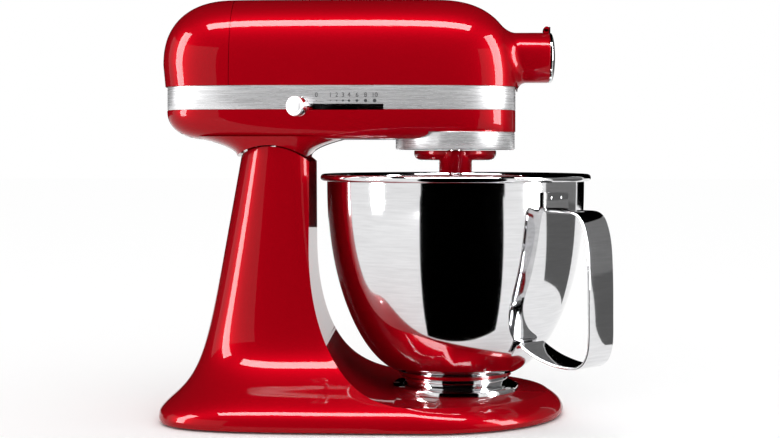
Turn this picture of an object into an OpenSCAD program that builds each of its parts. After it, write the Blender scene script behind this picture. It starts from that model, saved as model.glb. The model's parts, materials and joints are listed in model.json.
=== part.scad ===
// Tilt-head stand mixer: a hollow cast stand, a tilting head that holds the
// motor and the gear train, a planetary beater drive and a steel bowl.
// Lengths are in millimetres. Inside the modules X is measured forward from
// the planetary axis, Y from the middle plane and Z up from the table.

/* [Overall] */
// Height of the top of the head above the table
head_top = 312; // [305:1:340]
// Half the width of the head
head_half_w = 50; // [48:0.5:60]
// Reach of the nose of the head in front of the planetary axis
nose_reach = 46.9; // [46:0.1:60]
// Reach of the tail of the head behind the planetary axis
tail_reach = 220.5; // [215:0.5:265]
// Half the width of the base
base_half_w = 99.5; // [90:0.5:125]
// Reach of the base in front of the planetary axis
base_front = 80; // [72:1:100]
// Reach of the base behind the planetary axis
base_rear = 220; // [205:1:265]

/* [Castings] */
// Wall of the head shells
shell_wall = 3; // [2.4:0.1:3.6]
// Wall of the stand casting
stand_wall = 4; // [3:0.1:5]
// Lower edge of the trim band
band_bottom = 227.6; // [226:0.2:229]
// Upper edge of the trim band
band_top = 245.3; // [242:0.1:249]
// Underside of the head casting
hull_bottom = 206; // [205:0.2:207]
// Plane where the rear cover meets the motor housing
cover_seam_x = -166; // [-175:1:-160]
// Width of the visible seam between the two upper shells
seam_gap = 0.4; // [0.2:0.1:1]
// Half the width of the column at its top
column_half_w = 41; // [38:0.5:46]
// Front face of the column
column_front_x = -108; // [-111:1:-106]
// Top of the flat area that carries the bowl
deck_z = 17.5; // [14:0.5:19]
// Height of the rubber feet below the casting
foot_gap = 1.5; // [1:0.5:3]
// Radius of a rubber foot
foot_r = 9; // [7:0.5:12]

/* [Hinge] */
// Distance of the hinge axis behind the planetary axis
hinge_back = 137.5; // [136:0.5:139]
// Height of the hinge axis
hinge_z = 156; // [154:0.5:157]
// Radius of the hinge pin
hinge_pin_r = 6; // [5:0.25:8]
// Running clearance of a shaft in its bore, on the radius
run_gap = 0.05; // [0.02:0.01:0.1]
// Radius of the rounded top of the column
column_arc_r = 44.6; // [43:0.2:45.4]
// Gap between the column top and the hollow of the neck
arc_gap = 0.9; // [0.8:0.1:2.4]
// Half the width of the hinge lug of the head
lug_half_w = 20; // [16:0.5:24]
// Side clearance of the hinge lug
lug_gap = 1; // [0.5:0.1:2]

/* [Bowl] */
// Radius of the rolled rim
rim_r = 102; // [96:0.5:110]
// Height of the rim
rim_z = 180; // [172:1:184]
// Thickness of the bowl wall
bowl_wall = 1.2; // [0.8:0.1:2]
// Radius of the foot of the bowl
bowl_foot_r = 38.8; // [34:0.2:42]
// Running gap between bowl foot and clamp ring
bowl_gap = 0.4; // [0.3:0.1:1]
// Direction of the handle, clockwise from straight ahead
handle_angle = 44; // [0:1:90]
// Width of the handle strip
handle_w = 27.5; // [18:0.5:34]
// Thickness of the handle strip
handle_t = 1.8; // [1.2:0.1:3]
// Reach of the grip from the bowl axis
handle_reach = 138.6; // [130:0.2:150]

/* [Power hub] */
// Height of the hub axis
hub_z = 267.7; // [265:0.1:270]
// Bore of the hub, as a radius
hub_bore_r = 16.5; // [15:0.1:17.5]
// Outer radius of the hub
hub_outer_r = 19; // [18.6:0.1:21]
// Front face of the hub tube
hub_front_x = 70.3; // [64:0.1:80]
// Depth of the hub bore
hub_depth = 32.3; // [26:0.1:34]

/* [Gear train] */
// Module of the spur gears and of the worm wheel
spur_m = 1.25; // [1.2:0.01:1.3]
// Teeth of the large gear on the centre shaft
centre_teeth = 50; // [48:1:52]
// Teeth of the pinion on the worm-wheel shaft
pinion_teeth = 12; // [12:1:13]
// Teeth of the worm wheel
wheel_teeth = 28; // [26:1:29]
// Pitch radius of the worm
worm_r = 6.5; // [6.2:0.1:6.8]
// Number of starts of the worm
worm_starts = 2; // [2:1:2]
// Module of the planet pinion and its ring gear
planet_m = 1; // [0.98:0.01:1.02]
// Teeth of the fixed ring gear
ring_teeth = 66; // [64:2:66]
// Teeth of the planet pinion
planet_teeth = 26; // [24:2:26]
// Module of the bevel gears
bevel_m = 1.5; // [1.4:0.05:1.55]
// Teeth of the bevel gear on the centre shaft
bevel_teeth = 20; // [18:1:21]
// Teeth of the bevel gear on the hub shaft
hub_teeth = 14; // [12:1:15]
// Height of the motor axis
motor_z = 258; // [256:0.5:259]
// Radius of the armature
armature_r = 22; // [18:0.5:24]
// Radius of the centre shaft
centre_shaft_r = 5.5; // [5:0.1:5.8]
// Radius of the beater shaft
beater_shaft_r = 5; // [4.5:0.1:5.5]

/* [Levers] */
// Distance of the speed lever's pivot behind the planetary axis
speed_pivot_back = 81; // [79:0.5:83]
// Swing of the speed lever, from off to full speed
speed_swing = 54; // [40:1:54]
// Distance of the lock lever's pivot behind the planetary axis
lock_pivot_back = 92; // [90:0.5:94]
// Swing of the lock lever
lock_swing = 30; // [20:1:34]
// Length of the speed lever from its pivot to the face of its knob
speed_arm = 77; // [74:0.5:82]
// Radius of a lever knob
knob_r = 7.2; // [6:0.1:8]

/* [Hidden] */
$fn = 64;
eps = 0.01;

red = [0.72, 0.02, 0.05];
silver = [0.8, 0.8, 0.82];
steel = [0.62, 0.63, 0.66];
black = [0.06, 0.06, 0.07];

// Place of the planetary axis in the part's frame, which puts the origin at
// the middle of the whole length.
handle_front = handle_reach * cos(handle_angle) + handle_w / 2 * sin(handle_angle);
front_reach = max(hub_front_x + 5, base_front, rim_r, handle_front);
rear_reach = max(tail_reach, base_rear);
mix_x = (rear_reach - front_reach) / 2;

hinge_x = -hinge_back;
neck_arc_r = column_arc_r + arc_gap;
slot_half_w = lug_half_w + lug_gap;
hinge_hub_r = hinge_pin_r + 13;
pocket_r = hinge_hub_r + 4;
pocket_front_x = column_front_x - 7;
pocket_rear_x = hinge_x - 23;
web_front_angle = 62;
web_rear_angle = 86;

planet_offset = planet_m * (ring_teeth - planet_teeth) / 2;
wheel_pitch_r = spur_m * wheel_teeth / 2;
wheel_y = worm_r + wheel_pitch_r;
shaft_distance = spur_m * (centre_teeth + pinion_teeth) / 2;
wheel_x = -sqrt(shaft_distance * shaft_distance - wheel_y * wheel_y);
wheel_direction = atan2(wheel_y, wheel_x);
worm_pitch = PI * spur_m;
gear_z = 214;
gear_width = 8;
wheel_width = 5;
wheel_shaft_r = 4;
motor_shaft_r = 4;
bracket_z = 244;
bracket_t = 4;
bracket_rear_x = -62;
bracket_len = 101;
bevel_r = bevel_m * bevel_teeth / 2;
hub_bevel_r = bevel_m * hub_teeth / 2;
bevel_depth = 4.5;
hub_shaft_r = 4;
hub_socket_r = 9;
hub_back_x = hub_front_x - hub_depth;
hub_flange_t = 4;

ring_z0 = 200;
ring_z1 = 208;
mouth_r = 43.3;
drip_r = 45;
drip_z0 = 198;
drip_z1 = 211.6;
gearcase_bore_r = planet_m * ring_teeth / 2 + 5.4;
disc_r = 31;
disc_z0 = 190.4;
disc_z1 = 197.6;
boss_r = 12.2;
boss_z0 = 181;

// Places of the bracket posts and the height where each one starts.
post_places = [for (s = [1, -1]) each [[-44, s * (head_half_w - 14), 207],
  [nose_reach - 16.9, s * (head_half_w - 24), 213]]];
screw_r = 1.8;

lever_z = 229.4;
lever_t = 3;
lever_pin_r = 2.5;
slot_z0 = 227.2;
slot_z1 = 231.6;
lock_pivot_y = 16;
bolt_z = 180;
bolt_travel = 9;

// ---- Helpers -------------------------------------------------------------

module at_frame() {
  translate([mix_x, 0, 0]) children();
}

// Cylinder along Y, centred on Y = 0.
module across(r, w) {
  rotate([90, 0, 0]) cylinder(r = r, h = w, center = true);
}

// Cylinder along +X from the place given.
module along(r, h) {
  rotate([0, 90, 0]) cylinder(r = r, h = h);
}

function signed_power(v, p) = v < 0 ? -pow(-v, p) : pow(v, p);

// Share of full size left at height share v of a superellipse of power n.
function squircle(v, n) = pow(max(0, 1 - pow(min(1, max(0, v)), n)), 1 / n);

// Closed outline at height z: rear and front halves are superellipses that
// meet at the widest place xc.
function outline(xr, xc, xf, w, nr, nf, z, k) = [for (i = [0:k - 1])
  let(t = 360 * i / k, c = cos(t), s = sin(t), n = c < 0 ? nr : nf,
    a = c < 0 ? xc - xr : xf - xc)
  [xc + a * signed_power(c, 2 / n), w * signed_power(s, 2 / n), z]];

// Solid through a stack of outlines with the same number of points.
module loft(rings) {
  k = len(rings[0]);
  m = len(rings);
  points = [for (r = rings) each r];
  sides = [for (j = [0:m - 2]) for (i = [0:k - 1]) let(n = (i + 1) % k) each
    [[j * k + i, j * k + k + i, j * k + n], [j * k + n, j * k + k + i, j * k + k + n]]];
  bottom = [for (i = [0:k - 1]) i];
  top = [for (i = [k - 1:-1:0]) (m - 1) * k + i];
  polyhedron(points, concat(sides, [bottom, top]), convexity = 6);
}

// ---- Head surface --------------------------------------------------------

nose_centre = -20;
tail_centre = -165;
tail_mid_z = 262;
head_centre = -100;

// Superellipse share of the height z between the band and the top.
function upper_share(z, d) = (z - band_top) / (head_top - d - band_top);
function lower_share(z, d) = (band_bottom - z) / (band_bottom - hull_bottom - d);

function head_half_at(z, d) =
  z > band_top ? (head_half_w - d) * squircle(upper_share(z, d), 2.45) :
  z < band_bottom ? 34 + (head_half_w - 34 - d) * squircle(lower_share(z, d), 3) :
  head_half_w - d;

function head_front_at(z, d) =
  z > band_top ? nose_centre + (nose_reach - d - nose_centre) * squircle(upper_share(z, d), 2.6) :
  z < band_top - 4 ? nose_reach - 1.5 - d : nose_reach - d;

function head_rear_at(z, d) =
  z > tail_mid_z ? tail_centre - (tail_reach - d + tail_centre)
    * squircle((z - tail_mid_z) / (head_top - d - tail_mid_z), 2.35) :
  z < band_bottom ? 30 - tail_reach + d + 3 - 30 * squircle(lower_share(z, d), 2.2) :
  d - tail_reach + 0.1 * (tail_mid_z - max(z, band_bottom));

// Outline of the head at height z, drawn in by d on all sides.
function head_ring(z, d, k) =
  outline(head_rear_at(z, d), head_centre, head_front_at(z, d), head_half_at(z, d), 3.4, 3, z, k);

module upper_body(d, z0, steps, k) {
  loft([for (i = [0:steps]) let(t = 87 * i / steps)
    head_ring(z0 + (head_top - d - z0) * sin(t), d, k)]);
}

module upper_shell() {
  difference() {
    upper_body(0, band_top, 14, 56);
    upper_body(shell_wall, band_top - 1, 8, 40);
    translate([hub_front_x - 60, 0, hub_z]) along(hub_outer_r, 60);
  }
}

// ---- Stand casting surface -----------------------------------------------

// Flare from the slender column (0) to the wide base (1) at height z.
function flare(z, z_half, power) = 1 / (1 + pow(z / z_half, power));

function stand_rear_at(z) = -161.5 - 0.18 * (193 - z) - (base_rear - 196.2) * flare(max(z, 9), 21, 3.2)
  - 1.4 * flare(z, 60, 4) + foot_round(z);
function foot_round(z) = z < 6 ? 2.5 * pow((6 - z) / 6, 2) : 0;
function stand_front_at(z) = column_front_x + 5 + (base_front - column_front_x - 4) * flare(z, 42, 3)
  - foot_round(z);
function stand_half_at(z) = column_half_w + (base_half_w - column_half_w) * flare(z, 33, 2.8)
  - foot_round(z);
function stand_centre_at(z) = -128 + 103 * flare(z, 35, 2.6);
function stand_rear_power(z) = 2.7 + 2.1 * flare(z, 40, 4);
function stand_front_power(z) = 2.9 - 0.9 * flare(z, 60, 4);

function stand_ring(z, d, k) = outline(stand_rear_at(z) + d, stand_centre_at(z),
  stand_front_at(z) - d, stand_half_at(z) - d, stand_rear_power(z), stand_front_power(z), z, k);

// Side view of everything that the column front and the deck cut away.
module dish_outline(d) {
  top = head_top;
  flat_end = 128;
  saddle = [for (t = [0:7.5:90])
    [column_front_x + 3 - d + 84 - 84 * cos(t) - 3 * cos(t), deck_z - d + (flat_end - deck_z) * pow(1 - sin(t), 1.35)]];
  polygon(concat([[column_front_x - d, top]], saddle, [[base_front + 40, deck_z - d], [base_front + 40, top]]));
}

module dish(d) {
  rotate([90, 0, 0]) linear_extrude(height = 4 * base_half_w, center = true) dish_outline(d);
}

// ---- Stand ---------------------------------------------------------------

foot_places = [[-185, 60], [-185, -60], [25, 62], [25, -62]];
clamp_screw_r = 44;
clamp_plate_r = bowl_foot_r + bowl_gap + 8.4;

module pedestal_base() {
  color(red) at_frame() difference() {
    intersection() {
      loft([for (z = [foot_gap, 2.5, 4, 6, 9, 12, 15, 18, 21, 24, 28, 33, 39, 46, 54, 64, 76, 90,
        106, 124, 144, 164, 184, 203]) stand_ring(z, 0, 56)]);
      union() {
        translate([hinge_x, 0, hinge_z]) across(column_arc_r, 4 * base_half_w);
        translate([-300, -150, 0]) cube([500, 300, hinge_z]);
      }
    }
    dish(0);
    difference() {
      loft([for (z = [0, 6, 12, 18, 26, 36, 50, 70, 96, 122]) stand_ring(max(z, 6), stand_wall, 40)
        + [for (i = [1:40]) [0, 0, z - max(z, 6)]]]);
      dish(stand_wall);
    }
    column_pocket();
    translate([0, 0, deck_z]) cylinder(r = clamp_plate_r + 0.4, h = 20);
    translate([hinge_x, 0, hinge_z]) across(hinge_pin_r + run_gap, 2 * column_half_w - 6);
    translate([hinge_x, pin_screw_y, hinge_z - 40]) cylinder(r = pin_screw_r, h = 40);
    for (a = [60, 180, 300])
      rotate([0, 0, a]) translate([clamp_screw_r, 0, deck_z - 10]) cylinder(r = 1.6, h = 12);
  }
}

// Space in the column top where the hinge lug of the head swings.
module column_pocket() {
  intersection() {
    union() {
      translate([hinge_x, 0, hinge_z]) across(pocket_r, 2 * slot_half_w);
      translate([pocket_rear_x, -slot_half_w, hinge_z])
        cube([pocket_front_x - pocket_rear_x, 2 * slot_half_w, 60]);
    }
    translate([pocket_rear_x, -slot_half_w, hinge_z - 60])
      cube([pocket_front_x - pocket_rear_x, 2 * slot_half_w, 120]);
  }
}

module base_bottom_plate() {
  color(black) at_frame()
    translate([0, 0, 3]) linear_extrude(height = 2)
      polygon([for (p = stand_ring(6, stand_wall + 0.3, 40)) [p[0], p[1]]]);
}

module rubber_feet() {
  color(black) at_frame() for (p = foot_places) translate([p[0], p[1], 0]) cylinder(r = foot_r, h = 3);
}

module bowl_clamp_plate() {
  lip_r = bowl_foot_r + bowl_gap;
  color(silver) at_frame() difference() {
    translate([0, 0, deck_z]) cylinder(r = clamp_plate_r, h = 4);
    translate([0, 0, deck_z + 0.8]) cylinder(r = lip_r + 2, h = 1.9);
    translate([0, 0, deck_z + 0.8]) cylinder(r = lip_r, h = 10);
    for (a = lug_angles) rotate([0, 0, a + bowl_twist])
      translate([lip_r - 3, -7, deck_z + 0.8]) cube([5, 14, 10]);
    for (a = [60, 180, 300]) rotate([0, 0, a]) translate([clamp_screw_r, 0, deck_z - 1]) {
      cylinder(r = 1.7, h = 10);
      translate([0, 0, 3.4]) cylinder(r = 2.8, h = 10);
    }
  }
}

bowl_twist = 25;
lug_angles = [0, 120, 240];

module clamp_plate_screws() {
  color(steel) at_frame() for (a = [60, 180, 300]) rotate([0, 0, a]) translate([clamp_screw_r, 0, 0]) {
    translate([0, 0, deck_z - 8]) cylinder(r = 1.5, h = 10.6);
    difference() {
      translate([0, 0, deck_z + 2.5]) cylinder(r = 2.6, h = 1.4);
      translate([-3, -0.4, deck_z + 3.2]) cube([6, 0.8, 2]);
    }
  }
}

module hinge_pin() {
  color(steel) at_frame() translate([hinge_x, 0, hinge_z]) across(hinge_pin_r, 2 * column_half_w - 6.4);
}

pin_screw_r = 1.6;
pin_screw_y = slot_half_w + 6;

module hinge_pin_screw() {
  color(steel) at_frame() translate([hinge_x, pin_screw_y, hinge_z - hinge_pin_r - 8])
    cylinder(r = pin_screw_r, h = 7.9);
}

module lock_strike() {
  color(steel) at_frame() translate([pocket_front_x - 4.5, -8, bolt_z + 3]) cube([4.5, 16, 4]);
}

// ---- Head shells ---------------------------------------------------------

module motor_housing() {
  color(red) at_frame() intersection() {
    upper_shell();
    translate([cover_seam_x + seam_gap / 2, -100, 0]) cube([400, 200, 400]);
  }
}

module rear_cover() {
  color(red) at_frame() difference() {
    intersection() {
      upper_shell();
      translate([cover_seam_x - seam_gap / 2 - 400, -100, 0]) cube([400, 200, 400]);
    }
    translate([-tail_reach - 5, 0, tail_mid_z]) along(4.5, 7.2);
    translate([-tail_reach - 5, 0, tail_mid_z]) along(1.7, 20);
  }
}

module rear_cover_screw() {
  color(steel) at_frame() translate([-tail_reach + 0.7, 0, tail_mid_z]) {
    difference() {
      along(3.2, 1.5);
      translate([-1, -0.4, -4]) cube([1.6, 0.8, 8]);
    }
    translate([1, 0, 0]) along(1.5, 10.5);
  }
}

// Half-length of a lever slot where it crosses the wall.
function slot_reach(pivot_y, swing) = (head_half_w - pivot_y) * tan(swing / 2) + 2.9;

// Openings for both levers, cut through band and casting.
module lever_slots() {
  speed_half = slot_reach(0, speed_swing);
  lock_half = slot_reach(lock_pivot_y, lock_swing);
  translate([-speed_pivot_back - speed_half, -head_half_w - 10, slot_z0])
    cube([2 * speed_half, 20, slot_z1 - slot_z0]);
  translate([-lock_pivot_back - lock_half, head_half_w - 10, slot_z0])
    cube([2 * lock_half, 20, slot_z1 - slot_z0]);
}

module trim_band() {
  color(silver) at_frame() difference() {
    translate([0, 0, band_bottom]) linear_extrude(height = band_top - band_bottom)
      polygon([for (p = head_ring(band_bottom + 2, 0, 96)) [p[0], p[1]]]);
    translate([0, 0, band_bottom - 1]) linear_extrude(height = band_top - band_bottom + 2)
      polygon([for (p = head_ring(band_bottom + 2, shell_wall, 96)) [p[0], p[1]]]);
    lever_slots();
  }
}

// Neck between the head casting and the column, with a sweeping fillet.
module neck() {
  loft([for (z = [188, 193, 196, 199, 202, 204.5, 206.5, 208]) let(f = pow(max(0, z - 193) / 13, 2))
    outline(hinge_x - 26.5 - 26 * f, hinge_x, hinge_x + 27.5 + 26 * f,
      column_half_w + 0.5 + 4 * f, 2.9, 3.4, z, 56)]);
}

// Lug that reaches down into the column and turns on the hinge pin.
module hinge_lug() {
  translate([hinge_x, 0, hinge_z]) {
    across(hinge_hub_r, 2 * lug_half_w);
    intersection() {
      rotate([90, 0, 0]) linear_extrude(height = 2 * lug_half_w, center = true)
        polygon([[0, 0], 60 * [cos(web_front_angle), sin(web_front_angle)],
          60 * [cos(web_rear_angle), sin(web_rear_angle)]]);
      across(neck_arc_r + 2, 2 * lug_half_w);
    }
  }
}

module lower_housing() {
  color(red) at_frame() difference() {
    union() {
      difference() {
        union() {
          loft([for (v = [1, 0.97, 0.9, 0.8, 0.68, 0.52, 0.34, 0.16, 0])
            head_ring(band_bottom - v * (band_bottom - hull_bottom), 0, 56)]);
          neck();
        }
        loft([for (v = [1, 0.9, 0.7, 0.4, -0.2])
          head_ring(band_bottom - v * (band_bottom - hull_bottom - shell_wall), shell_wall, 40)]);
        translate([hinge_x, 0, hinge_z]) across(neck_arc_r, 4 * head_half_w);
        difference() {
          union() {
            translate([0, 0, hull_bottom - 20]) cylinder(r = drip_r + 3, h = drip_z1 - hull_bottom + 20);
            translate([-20, -100, hull_bottom - 20]) cube([200, 200, drip_z1 - hull_bottom + 20]);
          }
          translate([0, 0, ring_z0 - 10]) cylinder(r = mouth_r, h = 100);
        }
      }
      translate([0, 0, ring_z0 - 1]) cylinder(r = mouth_r, h = drip_z1 - ring_z0 + 1);
      hinge_lug();
      bracket_posts();
    }
    translate([0, 0, ring_z0 - 2]) cylinder(r = gearcase_bore_r, h = drip_z1 - ring_z0 + 2.4);
    translate([hinge_x, 0, hinge_z]) across(hinge_pin_r + 3, 4 * lug_half_w);
    translate([hinge_x - 20, -5.2, bolt_z - 2.2]) cube([50, 10.4, 4.4]);
    lever_slots();
    translate([-200, 20, hull_bottom - 5]) cylinder(r = 5.2, h = 30);
    for (x = [-206:7:-185]) translate([x, -22, hull_bottom - 5]) cube([3, 30, 30]);
  }
}

module hinge_bushes() {
  color([0.75, 0.55, 0.25]) at_frame() translate([hinge_x, 0, hinge_z])
    for (s = [-1, 1]) translate([0, s * (lug_half_w / 2 + 1), 0]) difference() {
      across(hinge_pin_r + 3, lug_half_w - 2);
      across(hinge_pin_r + run_gap, lug_half_w);
    }
}

module drip_ring() {
  color(silver) at_frame() difference() {
    translate([0, 0, drip_z0]) cylinder(r = drip_r, h = drip_z1 - drip_z0);
    translate([0, 0, drip_z0 + 1]) cylinder(r = mouth_r, h = 30);
    translate([0, 0, drip_z0 - 1]) cylinder(r = mouth_r - 3, h = 30);
  }
}

// ---- Gears ---------------------------------------------------------------

// Flat gear outline with straight-sided teeth; one tooth points along +X.
// Widths are shares of the pitch, at the root and at the tip.
module gear_outline(teeth, m, tip, root, root_w = 0.27, tip_w = 0.13) {
  pitch_r = teeth * m / 2;
  step = 360 / teeth;
  polygon([for (i = [0:teeth - 1]) each [
    for (q = [[root, -root_w], [tip, -tip_w], [tip, tip_w], [root, root_w]])
      (pitch_r + q[0] * m) * [cos((i + q[1]) * step), sin((i + q[1]) * step)]]]);
}

module spur(teeth, m, w) {
  linear_extrude(height = w) gear_outline(teeth, m, 0.8, -1.1);
}

// Bevel gear that tapers towards the crossing point of both axes.
module bevel(teeth, mate_teeth, m, depth) {
  apex = mate_teeth * m / 2;
  linear_extrude(height = depth, scale = (apex - depth) / apex)
    gear_outline(teeth, m, 0.6, -1.2, 0.25, 0.12);
}

module ring_gear() {
  color(steel) at_frame() translate([0, 0, ring_z0]) difference() {
    cylinder(r = gearcase_bore_r, h = ring_z1 - ring_z0);
    translate([0, 0, -1]) linear_extrude(height = 20)
      rotate([0, 0, -90]) gear_outline(ring_teeth, planet_m, 1.1, -0.7, 0.37, 0.23);
  }
}

module centre_gear() {
  color(steel) at_frame() translate([0, 0, gear_z]) difference() {
    rotate([0, 0, wheel_direction]) spur(centre_teeth, spur_m, gear_width);
    translate([0, 0, -1]) cylinder(r = centre_shaft_r, h = 20);
    for (a = [0:60:300]) rotate([0, 0, a]) translate([17, 0, -1]) cylinder(r = 5, h = 20);
  }
}

module centre_shaft() {
  color(steel) at_frame() translate([0, 0, disc_z0])
    cylinder(r = centre_shaft_r, h = hub_z - hub_bevel_r - disc_z0 + 1);
}

module centre_bevel_gear() {
  back = hub_z - hub_bevel_r;
  color(steel) at_frame() difference() {
    union() {
      translate([0, 0, back]) bevel(bevel_teeth, hub_teeth, bevel_m, bevel_depth);
      translate([0, 0, back - 4]) cylinder(r = bevel_r - 3, h = 4);
    }
    translate([0, 0, back - 5]) cylinder(r = centre_shaft_r, h = 6);
  }
}

module hub_bevel_gear() {
  color(steel) at_frame() translate([bevel_r, 0, hub_z]) rotate([0, -90, 0]) difference() {
    rotate([0, 0, 180 / hub_teeth]) bevel(hub_teeth, bevel_teeth, bevel_m, bevel_depth);
    translate([0, 0, -1]) cylinder(r = hub_shaft_r, h = 20);
  }
}

module hub_shaft() {
  back = hub_back_x - 10;
  color(steel) at_frame() translate([0, 0, hub_z]) difference() {
    union() {
      translate([bevel_r - bevel_depth, 0, 0]) along(hub_shaft_r, back - bevel_r + bevel_depth);
      translate([back, 0, 0]) along(hub_socket_r, hub_back_x - back);
    }
    translate([hub_back_x - 8, -4, -4]) cube([20, 8, 8]);
  }
}

// ---- Head fittings -------------------------------------------------------

knuckle_z = hub_outer_r + 2.3;

module hub_housing() {
  color(red) at_frame() translate([0, 0, hub_z]) difference() {
    union() {
      translate([hub_back_x - hub_flange_t, 0, 0]) along(hub_outer_r, hub_depth + hub_flange_t);
      for (s = [-1, 1]) translate([hub_front_x - 1.6, s * 5.2, 0]) {
        translate([0, 0, knuckle_z]) across(2, 3.6);
        translate([-2, -1.8, hub_outer_r - 3]) cube([3.6, 3.6, knuckle_z - hub_outer_r + 3]);
      }
    }
    translate([hub_back_x, 0, 0]) along(hub_bore_r, hub_depth + 10);
    translate([hub_back_x - 10, 0, 0]) along(hub_socket_r + run_gap, 20);
    translate([hub_front_x - 15, 0, 0]) rotate([-90, 0, 0]) cylinder(r = 3 + run_gap, h = 40);
    translate([hub_front_x - 1.6, 0, knuckle_z]) across(1, 20);
  }
}

module hub_cover_pin() {
  color(steel) at_frame() translate([hub_front_x - 1.6, 0, hub_z + knuckle_z]) across(1, 13.6);
}

module hub_cover() {
  rim_t = 1.2;
  dome = 3.4;
  cover_r = hub_outer_r - 0.2;
  color(silver) at_frame() translate([hub_front_x, 0, hub_z]) difference() {
    union() {
      translate([0.3, 0, 0]) rotate([0, 90, 0]) rotate_extrude()
        polygon(concat([[0, 0], [cover_r, 0]],
          [for (t = [0:15:90]) [cover_r * cos(t), rim_t + dome * sin(t)]]));
      translate([-1.6, 0, knuckle_z]) across(2, 6.2);
      translate([-1.6, -3.1, knuckle_z - 1]) cube([2.9, 6.2, 3]);
      translate([0.3, -3.1, hub_outer_r - 7]) cube([1, 6.2, knuckle_z - hub_outer_r + 9]);
    }
    translate([-1.6, 0, knuckle_z]) across(1 + run_gap, 20);
  }
}

module hub_thumb_screw() {
  color(black) at_frame() translate([hub_front_x - 15, 0, hub_z]) rotate([-90, 0, 0]) {
    translate([0, 0, hub_bore_r + 0.2]) cylinder(r = 3, h = 12);
    difference() {
      translate([0, 0, hub_outer_r + 4]) cylinder(r = 9, h = 12);
      for (a = [0:45:315]) rotate([0, 0, a]) translate([10.4, 0, hub_outer_r]) cylinder(r = 2.4, h = 30);
    }
  }
}

module gear_bracket() {
  color(silver) at_frame() difference() {
    union() {
      intersection() {
        translate([0, 0, bracket_z]) linear_extrude(height = bracket_t)
          polygon([for (p = head_ring(band_bottom + 2, shell_wall + 1, 56)) [p[0], p[1]]]);
        translate([bracket_rear_x, -100, 0]) cube([bracket_len, 200, 400]);
      }
      translate([bracket_rear_x, -12, bracket_z]) cube([6, 24, motor_z - bracket_z + 12]);
    }
    for (p = post_places) translate([p[0], p[1], bracket_z - 1]) cylinder(r = screw_r, h = 20);
    translate([0, 0, bracket_z - 1]) cylinder(r = centre_shaft_r + run_gap, h = 20);
    translate([wheel_x, wheel_y, bracket_z - 1]) cylinder(r = wheel_shaft_r + run_gap, h = 20);
    translate([bracket_rear_x - 10, 0, motor_z]) along(motor_shaft_r + run_gap, 30);
  }
}

module housing_screws() {
  color(steel) at_frame() for (p = post_places) translate([p[0], p[1], bracket_z - 24]) {
    cylinder(r = screw_r, h = 24 + bracket_t);
    translate([0, 0, 24 + bracket_t]) cylinder(r = 3.2, h = 2);
  }
}

// Posts inside the casting that carry the gear bracket.
module bracket_posts() {
  intersection() {
    for (p = post_places) difference() {
      translate([p[0], p[1], p[2]]) cylinder(r = 4.5, h = bracket_z - p[2]);
      translate([p[0], p[1], bracket_z - 25]) cylinder(r = screw_r, h = 26);
    }
    translate([0, 0, hull_bottom]) linear_extrude(height = 60)
      polygon([for (p = head_ring(band_bottom + 2, shell_wall + 0.2, 56)) [p[0], p[1]]]);
  }
}

module cord_inlet_bush() {
  color(black) at_frame() translate([-200, 20, hull_bottom + 2]) difference() {
    cylinder(r = 5, h = 12);
    translate([0, 0, -1]) cylinder(r = 3.2, h = 20);
  }
}

// Upright pins that the two levers turn on.
module lever_pivot_pins() {
  color(steel) at_frame() {
    translate([-speed_pivot_back, 0, hull_bottom + shell_wall])
      cylinder(r = lever_pin_r, h = lever_z - hull_bottom + shell_wall);
    translate([-lock_pivot_back, lock_pivot_y, hull_bottom + shell_wall])
      cylinder(r = lever_pin_r, h = lever_z - hull_bottom + shell_wall);
  }
}

// ---- Motor ---------------------------------------------------------------

stator_x = -150;
stator_len = 40;
stator_r = 37;
coil_gap = 0.6;

module motor_stator() {
  color(steel) at_frame() translate([stator_x, 0, motor_z]) difference() {
    along(stator_r, stator_len);
    translate([-1, 0, 0]) along(armature_r + coil_gap, stator_len + 2);
    for (s = [-1, 1]) translate([-1, s * (armature_r + 7) - 4, -16]) cube([stator_len + 2, 8, 32]);
  }
}

module field_coils() {
  color([0.7, 0.35, 0.12]) at_frame() translate([stator_x - 5, 0, motor_z])
    for (s = [-1, 1]) translate([0, s * (armature_r + 7) - 3.5, -15]) cube([stator_len + 10, 7, 30]);
}

module rear_motor_bearing() {
  color(silver) at_frame() translate([-196, 0, motor_z]) difference() {
    union() {
      along(11, 8);
      translate([0, -34, -4]) cube([4, 68, 8]);
    }
    translate([-1, 0, 0]) along(motor_shaft_r + run_gap, 20);
  }
}

module brush_holders() {
  color([0.4, 0.25, 0.1]) at_frame() translate([-172, 0, motor_z]) for (s = [-1, 1])
    translate([0, s * 22, 0]) difference() {
      cube([12, 18, 10], center = true);
      cube([7.2, 30, 5.2], center = true);
    }
}

module carbon_brushes() {
  color(black) at_frame() translate([-172, 0, motor_z]) for (s = [-1, 1])
    translate([0, s * 19.3, 0]) cube([7, 14, 5], center = true);
}

module control_board() {
  color([0.1, 0.35, 0.15]) at_frame() {
    translate([-206, -26, 232]) cube([1.6, 52, 44]);
    translate([-204.4, -18, 238]) cube([5, 12, 12]);
    translate([-204.4, 6, 240]) cube([6, 8, 16]);
  }
}

module speed_plate() {
  color(silver) at_frame() {
    translate([-192, -24, 222]) cube([1.2, 48, 24]);
    translate([-192, -6, 221]) cube([20, 12, 1.2]);
  }
}

module armature_shaft() {
  color(steel) at_frame() translate([-200, 0, motor_z]) along(motor_shaft_r, 200 - 17);
}

module armature_core() {
  color([0.45, 0.3, 0.2]) at_frame() translate([stator_x, 0, motor_z]) difference() {
    along(armature_r, stator_len);
    translate([-1, 0, 0]) along(motor_shaft_r, stator_len + 2);
    for (a = [0:30:330]) rotate([a, 0, 0]) translate([-1, -1, armature_r - 5]) cube([stator_len + 2, 2, 9]);
  }
}

worm_len = 24;

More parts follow.
